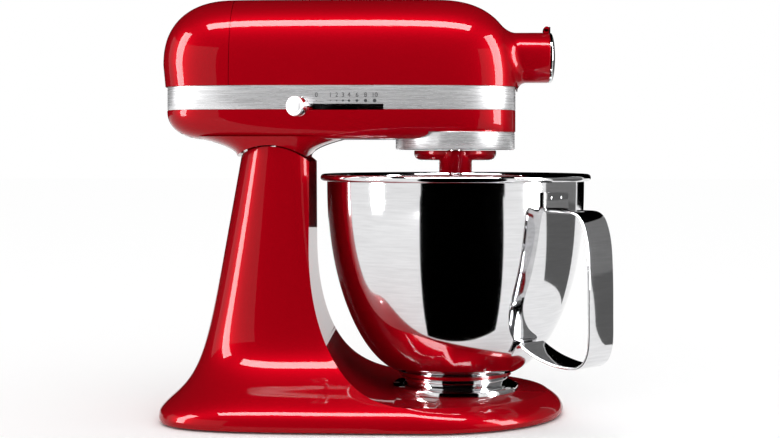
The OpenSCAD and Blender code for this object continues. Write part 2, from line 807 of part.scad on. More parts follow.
// Thread of the worm: a trapezoid swept along a right-hand helix.
module worm_thread(start) {
  turns = worm_len / (worm_pitch * worm_starts) - 0.5;
  steps = 12 * turns;
  root_r = worm_r - 1.05 * spur_m - 0.3;
  tip_r = worm_r + 0.8 * spur_m;
  section = [[root_r, 0.26], [tip_r, 0.1], [tip_r, -0.1], [root_r, -0.26]];
  rings = [for (i = [0:steps]) let(a = 30 * i - 360 * floor(turns / 2),
      x = (a / 360 * worm_starts + start + 0.5) * worm_pitch)
    [for (q = section) [x + q[1] * worm_pitch, q[0] * cos(a), q[0] * sin(a)]]];
  loft(rings);
}

module worm() {
  color(steel) at_frame() translate([wheel_x, 0, motor_z]) difference() {
    union() {
      translate([-worm_len / 2, 0, 0]) along(worm_r - 1.05 * spur_m, worm_len);
      for (s = [0:worm_starts - 1]) worm_thread(s - 0.5 * (worm_starts - 2) - 1);
    }
    translate([-50, 0, 0]) along(motor_shaft_r, 100);
  }
}

module commutator() {
  color([0.72, 0.45, 0.2]) at_frame() translate([-180, 0, motor_z]) difference() {
    along(12, 18);
    translate([-1, 0, 0]) along(motor_shaft_r, 20);
    for (a = [0:15:345]) rotate([a, 0, 0]) translate([-1, -0.3, 11]) cube([20, 0.6, 3]);
  }
}

module cooling_fan() {
  color(black) at_frame() translate([-104.5, 0, motor_z]) difference() {
    union() {
      along(8, 9);
      along(23, 1.5);
      for (a = [0:30:330]) rotate([a, 0, 0]) translate([0, -0.7, 6]) cube([9, 1.4, 16.5]);
    }
    translate([-1, 0, 0]) along(motor_shaft_r, 20);
  }
}

module worm_wheel() {
  color([0.75, 0.55, 0.25]) at_frame() translate([wheel_x, wheel_y, motor_z - wheel_width / 2]) difference() {
    rotate([0, 0, -90]) linear_extrude(height = wheel_width)
      gear_outline(wheel_teeth, spur_m, 0.8, -1.1, 0.24, 0.1);
    translate([0, 0, -1]) cylinder(r = wheel_shaft_r, h = 20);
  }
}

module pinion_shaft() {
  top = motor_z + 8;
  color(steel) at_frame() translate([wheel_x, wheel_y, 0]) {
    translate([0, 0, drip_z1 + 0.2]) cylinder(r = wheel_shaft_r, h = top - drip_z1 - 0.2);
    translate([0, 0, gear_z]) rotate([0, 0, wheel_direction + 180 + 180 / pinion_teeth])
      spur(pinion_teeth, spur_m, gear_width);
  }
}

// ---- Planetary and beater ------------------------------------------------

module planetary_hub() {
  color(red) at_frame() difference() {
    union() {
      rotate_extrude() polygon([[0, disc_z0], [disc_r - 5, disc_z0], [disc_r - 2.3, disc_z0 + 0.7],
        [disc_r - 0.7, disc_z0 + 2.3], [disc_r, disc_z0 + 5], [disc_r, disc_z1], [0, disc_z1]]);
      translate([0, -planet_offset, boss_z0]) cylinder(r = boss_r, h = disc_z1 - boss_z0);
      translate([0, 0, disc_z1 - 1]) cylinder(r = centre_shaft_r + 0.1, h = 1.5);
    }
    translate([0, 0, disc_z0 - 1]) cylinder(r = centre_shaft_r, h = 20);
    translate([0, -planet_offset, boss_z0 - 1]) cylinder(r = beater_shaft_r + run_gap, h = 30);
  }
}

module planet_pinion() {
  color(steel) at_frame() translate([0, -planet_offset, ring_z0 + 0.5]) difference() {
    rotate([0, 0, -90]) spur(planet_teeth, planet_m, ring_z1 - ring_z0 - 1);
    translate([0, 0, -1]) cylinder(r = beater_shaft_r, h = 20);
  }
}

shaft_bottom = 152;
collar_z0 = 150;
collar_z1 = 170;

module beater_shaft() {
  color(steel) at_frame() translate([0, -planet_offset, shaft_bottom]) difference() {
    cylinder(r = beater_shaft_r, h = ring_z1 - shaft_bottom);
    translate([0, 0, 10]) across(1.5, 30);
  }
}

module beater_pin() {
  color(steel) at_frame() translate([0, -planet_offset, shaft_bottom + 10]) across(1.5, 19);
}

// Right half of the beater's outline, from the bottom up, drawn in by d.
function beater_half(d) = [[0, 38 + d], [20 - d / 2, 38.6 + d], [33 - d, 44.5 + d / 2], [45 - d, 58],
  [53 - d, 76], [56 - d, 96], [54 - d, 114], [46 - d, 131 - d / 2], [30 - d / 2, 145 - d], [0, 154 - d]];

module beater_plane(d) {
  half = beater_half(d);
  polygon(concat(half, [for (i = [len(half) - 2:-1:1]) [-half[i][0], half[i][1]]]));
}

module flat_beater() {
  color([0.85, 0.85, 0.86]) at_frame() translate([0, -planet_offset, 0]) difference() {
    union() {
      rotate([90, 0, 0]) linear_extrude(height = 7, center = true) difference() {
        beater_plane(0);
        difference() {
          beater_plane(8);
          polygon([[-4, 30], [4, 30], [4, 160], [-4, 160]]);
          for (s = [-1, 1]) polygon([[0, 66], [s * 60, 92], [s * 60, 99], [0, 73]]);
          for (s = [-1, 1]) polygon([[0, 100], [s * 60, 124], [s * 60, 131], [0, 107]]);
        }
      }
      translate([0, 0, collar_z0 - 6]) cylinder(r = 9.5, h = collar_z1 - collar_z0 + 6);
    }
    translate([0, 0, shaft_bottom - 1]) cylinder(r = beater_shaft_r + run_gap, h = 40);
    translate([0, 0, shaft_bottom + 10]) across(1.6, 30);
    translate([-1.6, -20, shaft_bottom + 10]) cube([3.2, 40, 30]);
  }
}

// ---- Levers --------------------------------------------------------------

// Flat arm along -Y with an eye on its pivot pin.
module lever_arm(reach) {
  difference() {
    union() {
      translate([0, 0, lever_z - lever_t / 2]) cylinder(r = 6.5, h = lever_t);
      translate([-4, -reach, lever_z - lever_t / 2]) cube([8, reach, lever_t]);
    }
    translate([0, 0, lever_z - 10]) cylinder(r = lever_pin_r + run_gap, h = 20);
  }
}

// Thin stem and round, flat-faced knob on the end of an arm.
module lever_knob(arm, reach) {
  translate([0, 0, lever_z]) difference() {
    rotate([90, 0, 0]) rotate_extrude() polygon([[0, arm - 3], [1.7, arm - 3], [1.9, reach - 14],
      [knob_r / 2, reach - 13], [knob_r / 2, reach - 12], [knob_r - 1.2, reach - 10.5],
      [knob_r, reach - 8.5], [knob_r, reach - 0.8], [knob_r - 0.8, reach], [0, reach]]);
    translate([-10, -arm, -10]) cube([20, arm, 20]);
  }
}

speed_rest = -speed_swing / 2;
lock_rest = 180 + lock_swing / 2;
speed_arm_in = head_half_w - 4.5;
lock_arm_in = head_half_w - lock_pivot_y - 4.5;
lock_arm = speed_arm - lock_pivot_y;

module speed_lever() {
  color(black) at_frame() translate([-speed_pivot_back, 0, 0]) rotate([0, 0, speed_rest])
    lever_arm(speed_arm_in);
}

module speed_lever_knob() {
  color(silver) at_frame() translate([-speed_pivot_back, 0, 0]) rotate([0, 0, speed_rest])
    lever_knob(speed_arm_in, speed_arm);
}

module lock_lever() {
  color(black) at_frame() translate([-lock_pivot_back, lock_pivot_y, 0]) rotate([0, 0, lock_rest])
    lever_arm(lock_arm_in);
}

module lock_lever_knob() {
  color(silver) at_frame() translate([-lock_pivot_back, lock_pivot_y, 0]) rotate([0, 0, lock_rest])
    lever_knob(lock_arm_in, lock_arm);
}

module lock_bolt() {
  color(steel) at_frame() translate([hinge_x - 1.5, -5, bolt_z - 2]) cube([14, 10, 4]);
}

// ---- Bowl ----------------------------------------------------------------

bowl_floor = 32;
collar_r = 42.7;

// Outer radius of the bowl wall at height z: an ellipse-like belly that
// runs almost straight up to the rim.
function bowl_r(z) = let(v = (z - bowl_floor) / (rim_z - 4 - bowl_floor))
  collar_r + (rim_r - 5 - collar_r) * pow(1 - pow(1 - v, 2.3), 1 / 1.6);

bowl_steps = [for (i = [0:16]) bowl_floor + (rim_z - 4 - bowl_floor) * pow(i / 16, 1.6)];

bead_r = 2.6;

module bowl() {
  base = [[0, bowl_floor], [bowl_foot_r - bowl_wall, bowl_floor], [bowl_foot_r - bowl_wall, deck_z + 1],
    [bowl_foot_r, deck_z + 1], [bowl_foot_r, bowl_floor - 4], [collar_r, bowl_floor - 3]];
  outer = [for (z = bowl_steps) [bowl_r(z), z]];
  bead = [for (t = [-140:20:140]) [rim_r - bead_r + bead_r * cos(t), rim_z - bead_r + bead_r * sin(t)]];
  inner = [for (i = [16:-1:1]) [bowl_r(bowl_steps[i]) - bowl_wall, max(bowl_steps[i], bowl_floor + bowl_wall)]];
  color(silver) at_frame() {
    rotate_extrude($fn = 128) polygon(concat(base, outer, bead, inner, [[0, bowl_floor + bowl_wall]]));
    for (a = lug_angles) rotate([0, 0, a]) intersection() {
      translate([bowl_foot_r - 0.8, -5.5, deck_z + 1.1]) cube([3.5, 11, 1.2]);
      cylinder(r = bowl_foot_r + 1.9, h = 60);
    }
  }
}

// Side view of the handle strip: a tab on the bowl wall at each end, an arm
// out from each tab, and a steep grip between the arms.
grip_top = 153.4;
grip_bottom = 47.4;
tab_top = 168;
tab_bottom = 51;
tab_fold = 60.5;

handle_line = [
  [bowl_r(tab_top), tab_top],
  [bowl_r(grip_top + 6), grip_top + 6],
  [bowl_r(grip_top + 3) + 0.8, grip_top + 3],
  [bowl_r(grip_top + 1) + 2.5, grip_top + 0.9],
  [bowl_r(grip_top) + 5.5, grip_top],
  [handle_reach - 18, grip_top],
  [handle_reach - 13, grip_top - 0.8],
  [handle_reach - 9.5, grip_top - 3.2],
  [handle_reach - 7, grip_top - 7.5],
  [handle_reach - 4.6, grip_top - 15],
  [handle_reach - 3, grip_top - 25],
  [handle_reach - 2, grip_bottom + 60],
  [handle_reach - 1.9, grip_bottom + 36],
  [handle_reach - 2.1, grip_bottom + 18],
  [handle_reach - 3.6, grip_bottom + 10],
  [handle_reach - 7, grip_bottom + 4],
  [handle_reach - 12.5, grip_bottom + 0.8],
  [handle_reach - 20, grip_bottom],
  [handle_reach - 31, grip_bottom + 0.8],
  [handle_reach - 45, grip_bottom + 4],
  [handle_reach - 55, grip_bottom + 8],
  [bowl_r(tab_fold) + 2.6, tab_fold - 1.2],
  [bowl_r(tab_fold) + 1, tab_fold - 1.2],
  [bowl_r(tab_fold - 2) + 0.3, tab_fold - 2.6],
  [bowl_r(tab_fold - 5), tab_fold - 5],
  [bowl_r(tab_bottom), tab_bottom]];

// Points of a line moved sideways by t, to its left seen along the line.
function beside(line, t) = [for (i = [0:len(line) - 1])
  let(a = line[max(0, i - 1)], b = line[min(len(line) - 1, i + 1)], v = (b - a) / norm(b - a))
  line[i] + t * [-v[1], v[0]]];

module bowl_handle() {
  inside = beside(handle_line, 0.15);
  outside = beside(handle_line, 0.15 + handle_t);
  color(silver) at_frame() rotate([0, 0, -handle_angle]) rotate([90, 0, 0])
    linear_extrude(height = handle_w, center = true)
      polygon(concat(inside, [for (i = [len(outside) - 1:-1:0]) outside[i]]));
}

// ---- Assembly ------------------------------------------------------------

pedestal_base();
base_bottom_plate();
rubber_feet();
bowl_clamp_plate();
clamp_plate_screws();
hinge_pin();
hinge_pin_screw();
lock_strike();
motor_housing();
rear_cover();
rear_cover_screw();
trim_band();
lower_housing();
hinge_bushes();
drip_ring();
ring_gear();
hub_housing();
hub_cover_pin();
gear_bracket();
housing_screws();
cord_inlet_bush();
lever_pivot_pins();
motor_stator();
field_coils();
rear_motor_bearing();
brush_holders();
carbon_brushes();
control_board();
speed_plate();
armature_shaft();
armature_core();
worm();
commutator();
cooling_fan();
worm_wheel();
pinion_shaft();
centre_shaft();
centre_gear();
centre_bevel_gear();
planetary_hub();
planet_pinion();
beater_shaft();
beater_pin();
flat_beater();
hub_shaft();
hub_bevel_gear();
hub_cover();
hub_thumb_screw();
speed_lever();
speed_lever_knob();
lock_lever();
lock_lever_knob();
lock_bolt();
bowl();
bowl_handle();
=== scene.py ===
"""Looks of the tilt-head stand mixer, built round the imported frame.

Lengths inside the shape functions are millimetres, measured like the design:
X forward from the planetary axis, Y from the middle plane, Z up from the table.
"""
import json
import math

import bmesh
import bpy
import numpy as np
from mathutils import Matrix, Vector


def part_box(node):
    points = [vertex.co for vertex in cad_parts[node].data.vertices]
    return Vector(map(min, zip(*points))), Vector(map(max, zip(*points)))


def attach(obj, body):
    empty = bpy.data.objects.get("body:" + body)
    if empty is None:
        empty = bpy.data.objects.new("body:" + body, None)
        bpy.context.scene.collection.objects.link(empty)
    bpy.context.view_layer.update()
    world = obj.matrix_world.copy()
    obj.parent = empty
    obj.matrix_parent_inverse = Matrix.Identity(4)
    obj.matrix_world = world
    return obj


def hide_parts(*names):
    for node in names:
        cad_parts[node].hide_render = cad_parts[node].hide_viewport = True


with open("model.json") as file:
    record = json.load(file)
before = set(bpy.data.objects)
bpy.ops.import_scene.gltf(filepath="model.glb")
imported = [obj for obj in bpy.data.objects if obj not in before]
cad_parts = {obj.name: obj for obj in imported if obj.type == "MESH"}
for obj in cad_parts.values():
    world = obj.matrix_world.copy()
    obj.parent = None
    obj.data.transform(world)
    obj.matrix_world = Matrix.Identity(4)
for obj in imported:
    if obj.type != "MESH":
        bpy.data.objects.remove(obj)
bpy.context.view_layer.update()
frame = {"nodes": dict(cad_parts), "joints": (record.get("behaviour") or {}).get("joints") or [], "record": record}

MM = 0.001
joints = {j["name"]: j for j in frame["joints"]}
MIX_X = joints["planetary_spin"]["pos_m"][0] / MM
HINGE_X = joints["head_tilt"]["pos_m"][0] / MM - MIX_X
HINGE_Z = joints["head_tilt"]["pos_m"][2] / MM
HUB_Z = joints["hub_drive_spin"]["pos_m"][2] / MM


def box_mm(node):
    """Corners of a CAD node in design millimetres."""
    low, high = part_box(node)
    shift = Vector((MIX_X, 0, 0))
    return low / MM - shift, high / MM - shift


# ---- Sizes read from the frame -------------------------------------------

HOUSING_LOW, HOUSING_HIGH = box_mm("motor_housing")
COVER_LOW, COVER_HIGH = box_mm("rear_cover")
BAND_LOW, BAND_HIGH = box_mm("trim_band")
STAND_LOW, STAND_HIGH = box_mm("pedestal_base")
DRIP_LOW, DRIP_HIGH = box_mm("drip_ring")
HEAD_TOP = HOUSING_HIGH.z
HALF_W = BAND_HIGH.y
NOSE_REACH = HOUSING_HIGH.x
TAIL_REACH = -COVER_LOW.x
BAND_BOTTOM = BAND_LOW.z
BAND_TOP = BAND_HIGH.z
SEAM_REAR = COVER_HIGH.x
SEAM_FRONT = HOUSING_LOW.x
BASE_HALF_W = STAND_HIGH.y
BASE_FRONT = STAND_HIGH.x
BASE_REAR = -STAND_LOW.x
FOOT_Z = STAND_LOW.z
DECK_Z = box_mm("bowl_clamp_plate")[0].z
HULL_BOTTOM = 206.0
WALL = 3.0
ROUND_STEPS = 384
NECK_GAP = 0.9
SLOT_BOTTOM, SLOT_TOP, SLOT_PLAY = 227.2, 231.6, 2.9
SPEED_REACH, SPEED_REST = 77, -27
LOCK_REACH, LOCK_REST = 61, 195
HUB_RADIUS, HUB_ROOT, HUB_BORE = 19.0, 7.0, 16.5
BOSS_R = 12.2
HINGE_HUB_R, LUG_HALF_W, POCKET_R = 19, 20, 23
TENT_R, FLAG_R, STAGE_Y = 2600, 2500, -103


# ---- Mesh helpers --------------------------------------------------------

def new_object(name, points, faces):
    """Mesh object from points in design millimetres."""
    points = np.asarray(points, float).reshape(-1, 3) + [MIX_X, 0, 0]
    mesh = bpy.data.meshes.new(name)
    mesh.from_pydata((points * MM).tolist(), [], faces)
    mesh.update()
    obj = bpy.data.objects.new(name, mesh)
    bpy.context.scene.collection.objects.link(obj)
    return obj


def fix_normals(obj):
    bm = bmesh.new()
    bm.from_mesh(obj.data)
    bmesh.ops.remove_doubles(bm, verts=bm.verts, dist=1e-6)
    bmesh.ops.recalc_face_normals(bm, faces=bm.faces)
    bm.to_mesh(obj.data)
    bm.free()


def smooth(obj, angle=32):
    """Smooth shading with crisp edges above the angle."""
    obj.data.shade_smooth()
    obj.data.set_sharp_from_angle(angle=math.radians(angle))
    return obj


def ring_faces(rows, count, closed=True):
    """Quads between rows of points."""
    last = count if closed else count - 1
    return [(r * count + i, r * count + (i + 1) % count,
             (r + 1) * count + (i + 1) % count, (r + 1) * count + i)
            for r in range(rows - 1) for i in range(last)]


def loft(name, rings, cap_low=True, cap_high=True):
    """Closed skin through rings with the same number of points."""
    rows, count = len(rings), len(rings[0])
    faces = ring_faces(rows, count)
    if cap_low:
        faces.append(tuple(range(count - 1, -1, -1)))
    if cap_high:
        faces.append(tuple((rows - 1) * count + i for i in range(count)))
    obj = new_object(name, np.concatenate(rings), faces)
    fix_normals(obj)
    return obj


def revolve(name, profile, count=192, axis="Z", centre=(0, 0, 0)):
    """Skin turned from (radius, height) points about an axis through centre."""
    angles = np.linspace(0, 2 * math.pi, count, endpoint=False)
    rings = []
    for radius, height in profile:
        c, s = radius * np.cos(angles), radius * np.sin(angles)
        h = np.full(count, float(height))
        ring = {"Z": (c, s, h), "X": (h, c, s), "Y": (s, h, c)}[axis]
        rings.append(np.stack(ring, 1) + centre)
    obj = new_object(name, np.concatenate(rings), ring_faces(len(rings), count))
    bm = bmesh.new()
    bm.from_mesh(obj.data)
    bmesh.ops.remove_doubles(bm, verts=bm.verts, dist=1e-7)
    bmesh.ops.holes_fill(bm, edges=[e for e in bm.edges if e.is_boundary], sides=0)
    bmesh.ops.recalc_face_normals(bm, faces=bm.faces)
    bm.to_mesh(obj.data)
    bm.free()
    return obj


def bake(obj):
    """Applies the modifiers."""
    graph = bpy.context.evaluated_depsgraph_get()
    mesh = bpy.data.meshes.new_from_object(obj.evaluated_get(graph))
    obj.modifiers.clear()
    obj.data = mesh
    return obj


def combine(obj, cutter, operation="DIFFERENCE"):
    """Boolean of obj with a helper, which is then removed."""
    mod = obj.modifiers.new("cut", "BOOLEAN")
    mod.operation = operation
    mod.solver = "EXACT"
    mod.object = cutter
    bake(obj)
    bpy.data.objects.remove(cutter)
    return obj


def block(low, high):
    """Helper box."""
    x0, y0, z0 = low
    x1, y1, z1 = high
    corners = [(x, y, z) for x in (x0, x1) for y in (y0, y1) for z in (z0, z1)]
    faces = [(0, 1, 3, 2), (4, 6, 7, 5), (0, 4, 5, 1), (2, 3, 7, 6), (0, 2, 6, 4), (1, 5, 7, 3)]
    obj = new_object("helper", corners, faces)
    fix_normals(obj)
    return obj


def prism_y(outline, half):
    """Helper: side-view outline of (x, z) points extruded to both sides."""
    outline = np.asarray(outline, float)
    rings = [np.stack([outline[:, 0], np.full(len(outline), y), outline[:, 1]], 1) for y in (-half, half)]
    return loft("helper", rings)


def tube_y(x, z, radius, half, count=256):
    """Helper cylinder along Y."""
    a = np.linspace(0, 2 * math.pi, count, endpoint=False)
    return prism_y(np.stack([x + radius * np.cos(a), z + radius * np.sin(a)], 1), half)


def evenly(points, count):
    """Closed outline resampled at even steps."""
    closed = np.vstack([points, points[:1]])
    steps = np.concatenate([[0], np.cumsum(np.linalg.norm(np.diff(closed, axis=0), axis=1))])
    wanted = np.linspace(0, steps[-1], count, endpoint=False)
    return np.stack([np.interp(wanted, steps, closed[:, i]) for i in range(closed.shape[1])], 1)


def outline(rear, centre, front, half, rear_power, front_power, z, count):
    """Plan outline at height z: two superellipse halves that meet at centre."""
    t = np.linspace(0, 2 * math.pi, 4096, endpoint=False)
    c, s = np.cos(t), np.sin(t)
    power = np.where(c < 0, rear_power, front_power)
    reach = np.where(c < 0, centre - rear, front - centre)
    x = centre + reach * np.sign(c) * np.abs(c) ** (2 / power)
    y = half * np.sign(s) * np.abs(s) ** (2 / power)
    flat = evenly(np.stack([x, y], 1), count)
    return np.column_stack([flat, np.full(count, float(z))])


def squircle(v, n):
    return max(0.0, 1 - min(1.0, max(0.0, v)) ** n) ** (1 / n)


# ---- Head surface, as in the design --------------------------------------

NOSE_CENTRE, TAIL_CENTRE, TAIL_MID_Z, HEAD_CENTRE = -20.0, -165.0, 262.0, -100.0


def upper_share(z, d):
    return (z - BAND_TOP) / (HEAD_TOP - d - BAND_TOP)


def lower_share(z, d):
    return (BAND_BOTTOM - z) / (BAND_BOTTOM - HULL_BOTTOM - d)


def head_half(z, d=0.0):
    if z > BAND_TOP:
        return (HALF_W - d) * squircle(upper_share(z, d), 2.45)
    if z < BAND_BOTTOM:
        return 34 + (HALF_W - 34 - d) * squircle(lower_share(z, d), 3)
    return HALF_W - d


def head_front(z, d=0.0):
    if z > BAND_TOP:
        return NOSE_CENTRE + (NOSE_REACH - d - NOSE_CENTRE) * squircle(upper_share(z, d), 2.6)
    return NOSE_REACH - 1.5 - d if z < BAND_TOP - 4 else NOSE_REACH - d


def head_rear(z, d=0.0):
    if z > TAIL_MID_Z:
        share = squircle((z - TAIL_MID_Z) / (HEAD_TOP - d - TAIL_MID_Z), 2.35)
        return TAIL_CENTRE - (TAIL_REACH - d + TAIL_CENTRE) * share
    if z < BAND_BOTTOM:
        return 33 - TAIL_REACH + d - 30 * squircle(lower_share(z, d), 2.2)
    return d - TAIL_REACH + 0.1 * (TAIL_MID_Z - max(z, BAND_BOTTOM))


def head_ring(z, d=0.0, count=ROUND_STEPS):
    return outline(head_rear(z, d), HEAD_CENTRE, head_front(z, d), head_half(z, d), 3.4, 3, z, count)


def head_y(x, z):
    """Half-width of the head's skin at x and z."""
    front, rear, half = head_front(z), head_rear(z), head_half(z)
    power, reach = (3, front - HEAD_CENTRE) if x > HEAD_CENTRE else (3.4, HEAD_CENTRE - rear)
    return half * squircle(abs(x - HEAD_CENTRE) / reach, power)


def nose_x(y, z):
    """Front of the head's skin at y and z."""
    front, half = head_front(z), head_half(z)
    return HEAD_CENTRE + (front - HEAD_CENTRE) * squircle(abs(y) / half, 3)


# ---- Stand surface, as in the design -------------------------------------

COLUMN_FRONT = -108.0
COLUMN_HALF_W = 41.0


def flare(z, z_half, power):
    return 1 / (1 + (z / z_half) ** power)


def stand_ring(z, count=ROUND_STEPS):
    lift = 2.5 * ((6 - z) / 6) ** 2 if z < 6 else 0.0
    rear = (-161.5 - 0.18 * (193 - z) - (BASE_REAR - 196.2) * flare(max(z, 9), 21, 3.2)
            - 1.4 * flare(z, 60, 4) + lift)
    front = COLUMN_FRONT + 5 + (BASE_FRONT - COLUMN_FRONT - 4) * flare(z, 42, 3) - lift
    half = COLUMN_HALF_W + (BASE_HALF_W - COLUMN_HALF_W) * flare(z, 33, 2.8) - lift
    centre = -128 + 103 * flare(z, 35, 2.6)
    rear_power, front_power = 2.7 + 2.1 * flare(z, 40, 4), 2.9 - 0.9 * flare(z, 60, 4)
    return outline(rear, centre, front, half, rear_power, front_power, z, count)


def dish_outline():
    """Side view of what the column front and the deck cut away."""
    flat_end, reach = 128, 84
    saddle = []
    for t in np.radians(np.arange(0, 90.1, 1.5)):
        x = COLUMN_FRONT + 3 + reach - (reach + 3) * math.cos(t)
        saddle.append((x, DECK_Z + (flat_end - DECK_Z) * (1 - math.sin(t)) ** 1.35))
    far = BASE_FRONT + 40
    return [(COLUMN_FRONT, HEAD_TOP)] + saddle + [(far, DECK_Z), (far, HEAD_TOP)]


# ---- Materials -----------------------------------------------------------

def material(name, base, metallic, roughness):
    mat = bpy.data.materials.new(name)
    mat.use_nodes = True
    shader = mat.node_tree.nodes["Principled BSDF"]
    shader.inputs["Base Color"].default_value = (*base, 1)
    shader.inputs["Metallic"].default_value = metallic
    shader.inputs["Roughness"].default_value = roughness
    return mat, mat.node_tree, shader


def coordinates(tree, scale):
    """Object coordinates, stretched by scale."""
    coord = tree.nodes.new("ShaderNodeTexCoord")
    mapping = tree.nodes.new("ShaderNodeMapping")
    mapping.inputs["Scale"].default_value = scale
    tree.links.new(coord.outputs["Object"], mapping.inputs["Vector"])
    return mapping.outputs["Vector"]


def noise(tree, vector, scale, detail=3, roughness=0.5):
    node = tree.nodes.new("ShaderNodeTexNoise")
    node.inputs["Scale"].default_value = scale
    node.inputs["Detail"].default_value = detail
    node.inputs["Roughness"].default_value = roughness
    tree.links.new(vector, node.inputs["Vector"])
    return node.outputs["Fac"]


def spread(tree, value, low, high, start=0.3, end=0.7):
    """Maps a noise value to a range."""
    node = tree.nodes.new("ShaderNodeMapRange")
    node.inputs["From Min"].default_value = start
    node.inputs["From Max"].default_value = end
    node.inputs["To Min"].default_value = low
    node.inputs["To Max"].default_value = high
    tree.links.new(value, node.inputs["Value"])
    return node.outputs["Result"]


def colours(tree, value, low, high):
    """Blends two colours by a value."""
    ramp = tree.nodes.new("ShaderNodeValToRGB")
    ramp.color_ramp.elements[0].color = (*low, 1)
    ramp.color_ramp.elements[1].color = (*high, 1)
    ramp.color_ramp.elements[0].position = 0.3
    ramp.color_ramp.elements[1].position = 0.7
    tree.links.new(value, ramp.inputs["Fac"])
    return ramp.outputs["Color"]


def bump(tree, shader, value, strength, distance):
    node = tree.nodes.new("ShaderNodeBump")
    node.inputs["Strength"].default_value = strength
    node.inputs["Distance"].default_value = distance
    tree.links.new(value, node.inputs["Height"])
    tree.links.new(node.outputs["Normal"], shader.inputs["Normal"])
    return node


def red_enamel():
    """Candy-apple enamel: fine metal flake under a clear coat."""
    mat, tree, shader = material("red_enamel", (0.34, 0.001, 0.006), 0.22, 0.42)
    flake = noise(tree, coordinates(tree, (1, 1, 1)), 2600, 2, 0.6)
    reds = colours(tree, flake, (0.28, 0.0004, 0.004), (0.34, 0.0006, 0.006))
    tree.links.new(reds, shader.inputs["Base Color"])
    tree.links.new(spread(tree, flake, 0.36, 0.46), shader.inputs["Roughness"])
    shader.inputs["Specular IOR Level"].default_value = 0.0
    shader.inputs["Coat Weight"].default_value = 1.0
    shader.inputs["Coat Roughness"].default_value = 0.025
    shader.inputs["Coat IOR"].default_value = 1.25
    peel = noise(tree, coordinates(tree, (1, 1, 1)), 420, 2, 0.4)
    bump(tree, shader, peel, 0.03, 0.0001)
    return mat


def brushed(name, base, rough, stretch, depth=0.05, scale=900, metallic=1.0):
    """Metal with fine brush lines along the short axis of stretch."""
    mat, tree, shader = material(name, base, metallic, rough)
    lines = noise(tree, coordinates(tree, stretch), scale, 4, 0.6)
    dark = tuple(0.86 * c for c in base)
    tree.links.new(colours(tree, lines, dark, base), shader.inputs["Base Color"])
    tree.links.new(spread(tree, lines, rough * 0.8, rough * 1.25), shader.inputs["Roughness"])
    bump(tree, shader, lines, depth, 0.0002)
    return mat


def moulded(name, base, rough):
    """Fine-grained plastic or rubber."""
    mat, tree, shader = material(name, base, 0.0, rough)
    grain = noise(tree, coordinates(tree, (1, 1, 1)), 1600, 3)
    light = tuple(min(1, 1.35 * c + 0.004) for c in base)
    tree.links.new(colours(tree, grain, base, light), shader.inputs["Base Color"])
    tree.links.new(spread(tree, grain, rough * 0.85, min(1, rough * 1.15)), shader.inputs["Roughness"])
    bump(tree, shader, grain, 0.12, 0.0002)
    return mat


MATERIALS = {
    "red_enamel": red_enamel(),
    "satin_silver": brushed("satin_silver", (0.74, 0.74, 0.75), 0.27, (0.04, 0.04, 1), 0.03, 900, 0.55),
    "polished_steel": brushed("polished_steel", (0.8, 0.8, 0.81), 0.06, (0.06, 0.06, 1), 0.003, 700),
    "chrome": brushed("chrome", (0.84, 0.84, 0.85), 0.05, (1, 1, 1), 0.004, 500),
    "gear_steel": brushed("gear_steel", (0.5, 0.5, 0.52), 0.3, (1, 1, 0.08), 0.1),
    "bronze": brushed("bronze", (0.62, 0.42, 0.18), 0.35, (1, 1, 1), 0.15, 500),
    "copper": brushed("copper", (0.66, 0.27, 0.1), 0.3, (0.08, 1, 1), 0.35, 700),
    "black_plastic": moulded("black_plastic", (0.012, 0.012, 0.013), 0.45),
    "rubber": moulded("rubber", (0.02, 0.02, 0.02), 0.75),
    "board": moulded("board", (0.02, 0.12, 0.05), 0.4),
    "coated_aluminium": brushed("coated_aluminium", (0.72, 0.72, 0.73), 0.3, (1, 1, 0.2), 0.1, 400),
    "cast_aluminium": brushed("cast_aluminium", (0.55, 0.56, 0.57), 0.45, (1, 1, 1), 0.4, 600),
}
MARK = moulded("printed_mark", (0.03, 0.03, 0.035), 0.5)
SPUN = brushed("spun_face", (0.8, 0.8, 0.81), 0.34, (1, 0.05, 1), 0.05, 700, 0.6)


def paint(obj, slot):
    obj.data.materials.clear()
    obj.data.materials.append(MATERIALS[slot])


def piece(obj, name, body, slot, *nodes, angle=32):
    """Finishes a visible piece that stands for CAD nodes."""
    obj.name = name
    smooth(obj, angle)
    paint(obj, slot)
    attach(obj, body)
    if nodes:
        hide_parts(*nodes)
    return obj


# ---- Stand ---------------------------------------------------------------

def make_pedestal():
    """One casting: flared foot, slender column, deck and saddle."""
    foot, sweep, column = np.linspace(FOOT_Z, 6, 8), np.linspace(6.5, 60, 76), np.linspace(61, 203, 110)
    levels = np.concatenate([foot, sweep, column])
    body = loft("pedestal", [stand_ring(z) for z in levels])
    arc_r = STAND_HIGH.z - HINGE_Z
    top = tube_y(HINGE_X, HINGE_Z, arc_r, 150)
    combine(top, block((-300, -140, -1), (200, 140, HINGE_Z)), "UNION")
    combine(body, top, "INTERSECT")
    combine(body, prism_y(dish_outline(), 140))
    front = box_mm("lock_strike")[1].x
    slot_half = LUG_HALF_W + 1.0
    hollow = tube_y(HINGE_X, HINGE_Z, POCKET_R, slot_half)
    combine(hollow, block((HINGE_X - POCKET_R, -slot_half, HINGE_Z), (front, slot_half, HEAD_TOP)), "UNION")
    combine(body, hollow)
    return piece(body, "pedestal_casting", "stand", "red_enamel", "pedestal_base")


# ---- Head ----------------------------------------------------------------

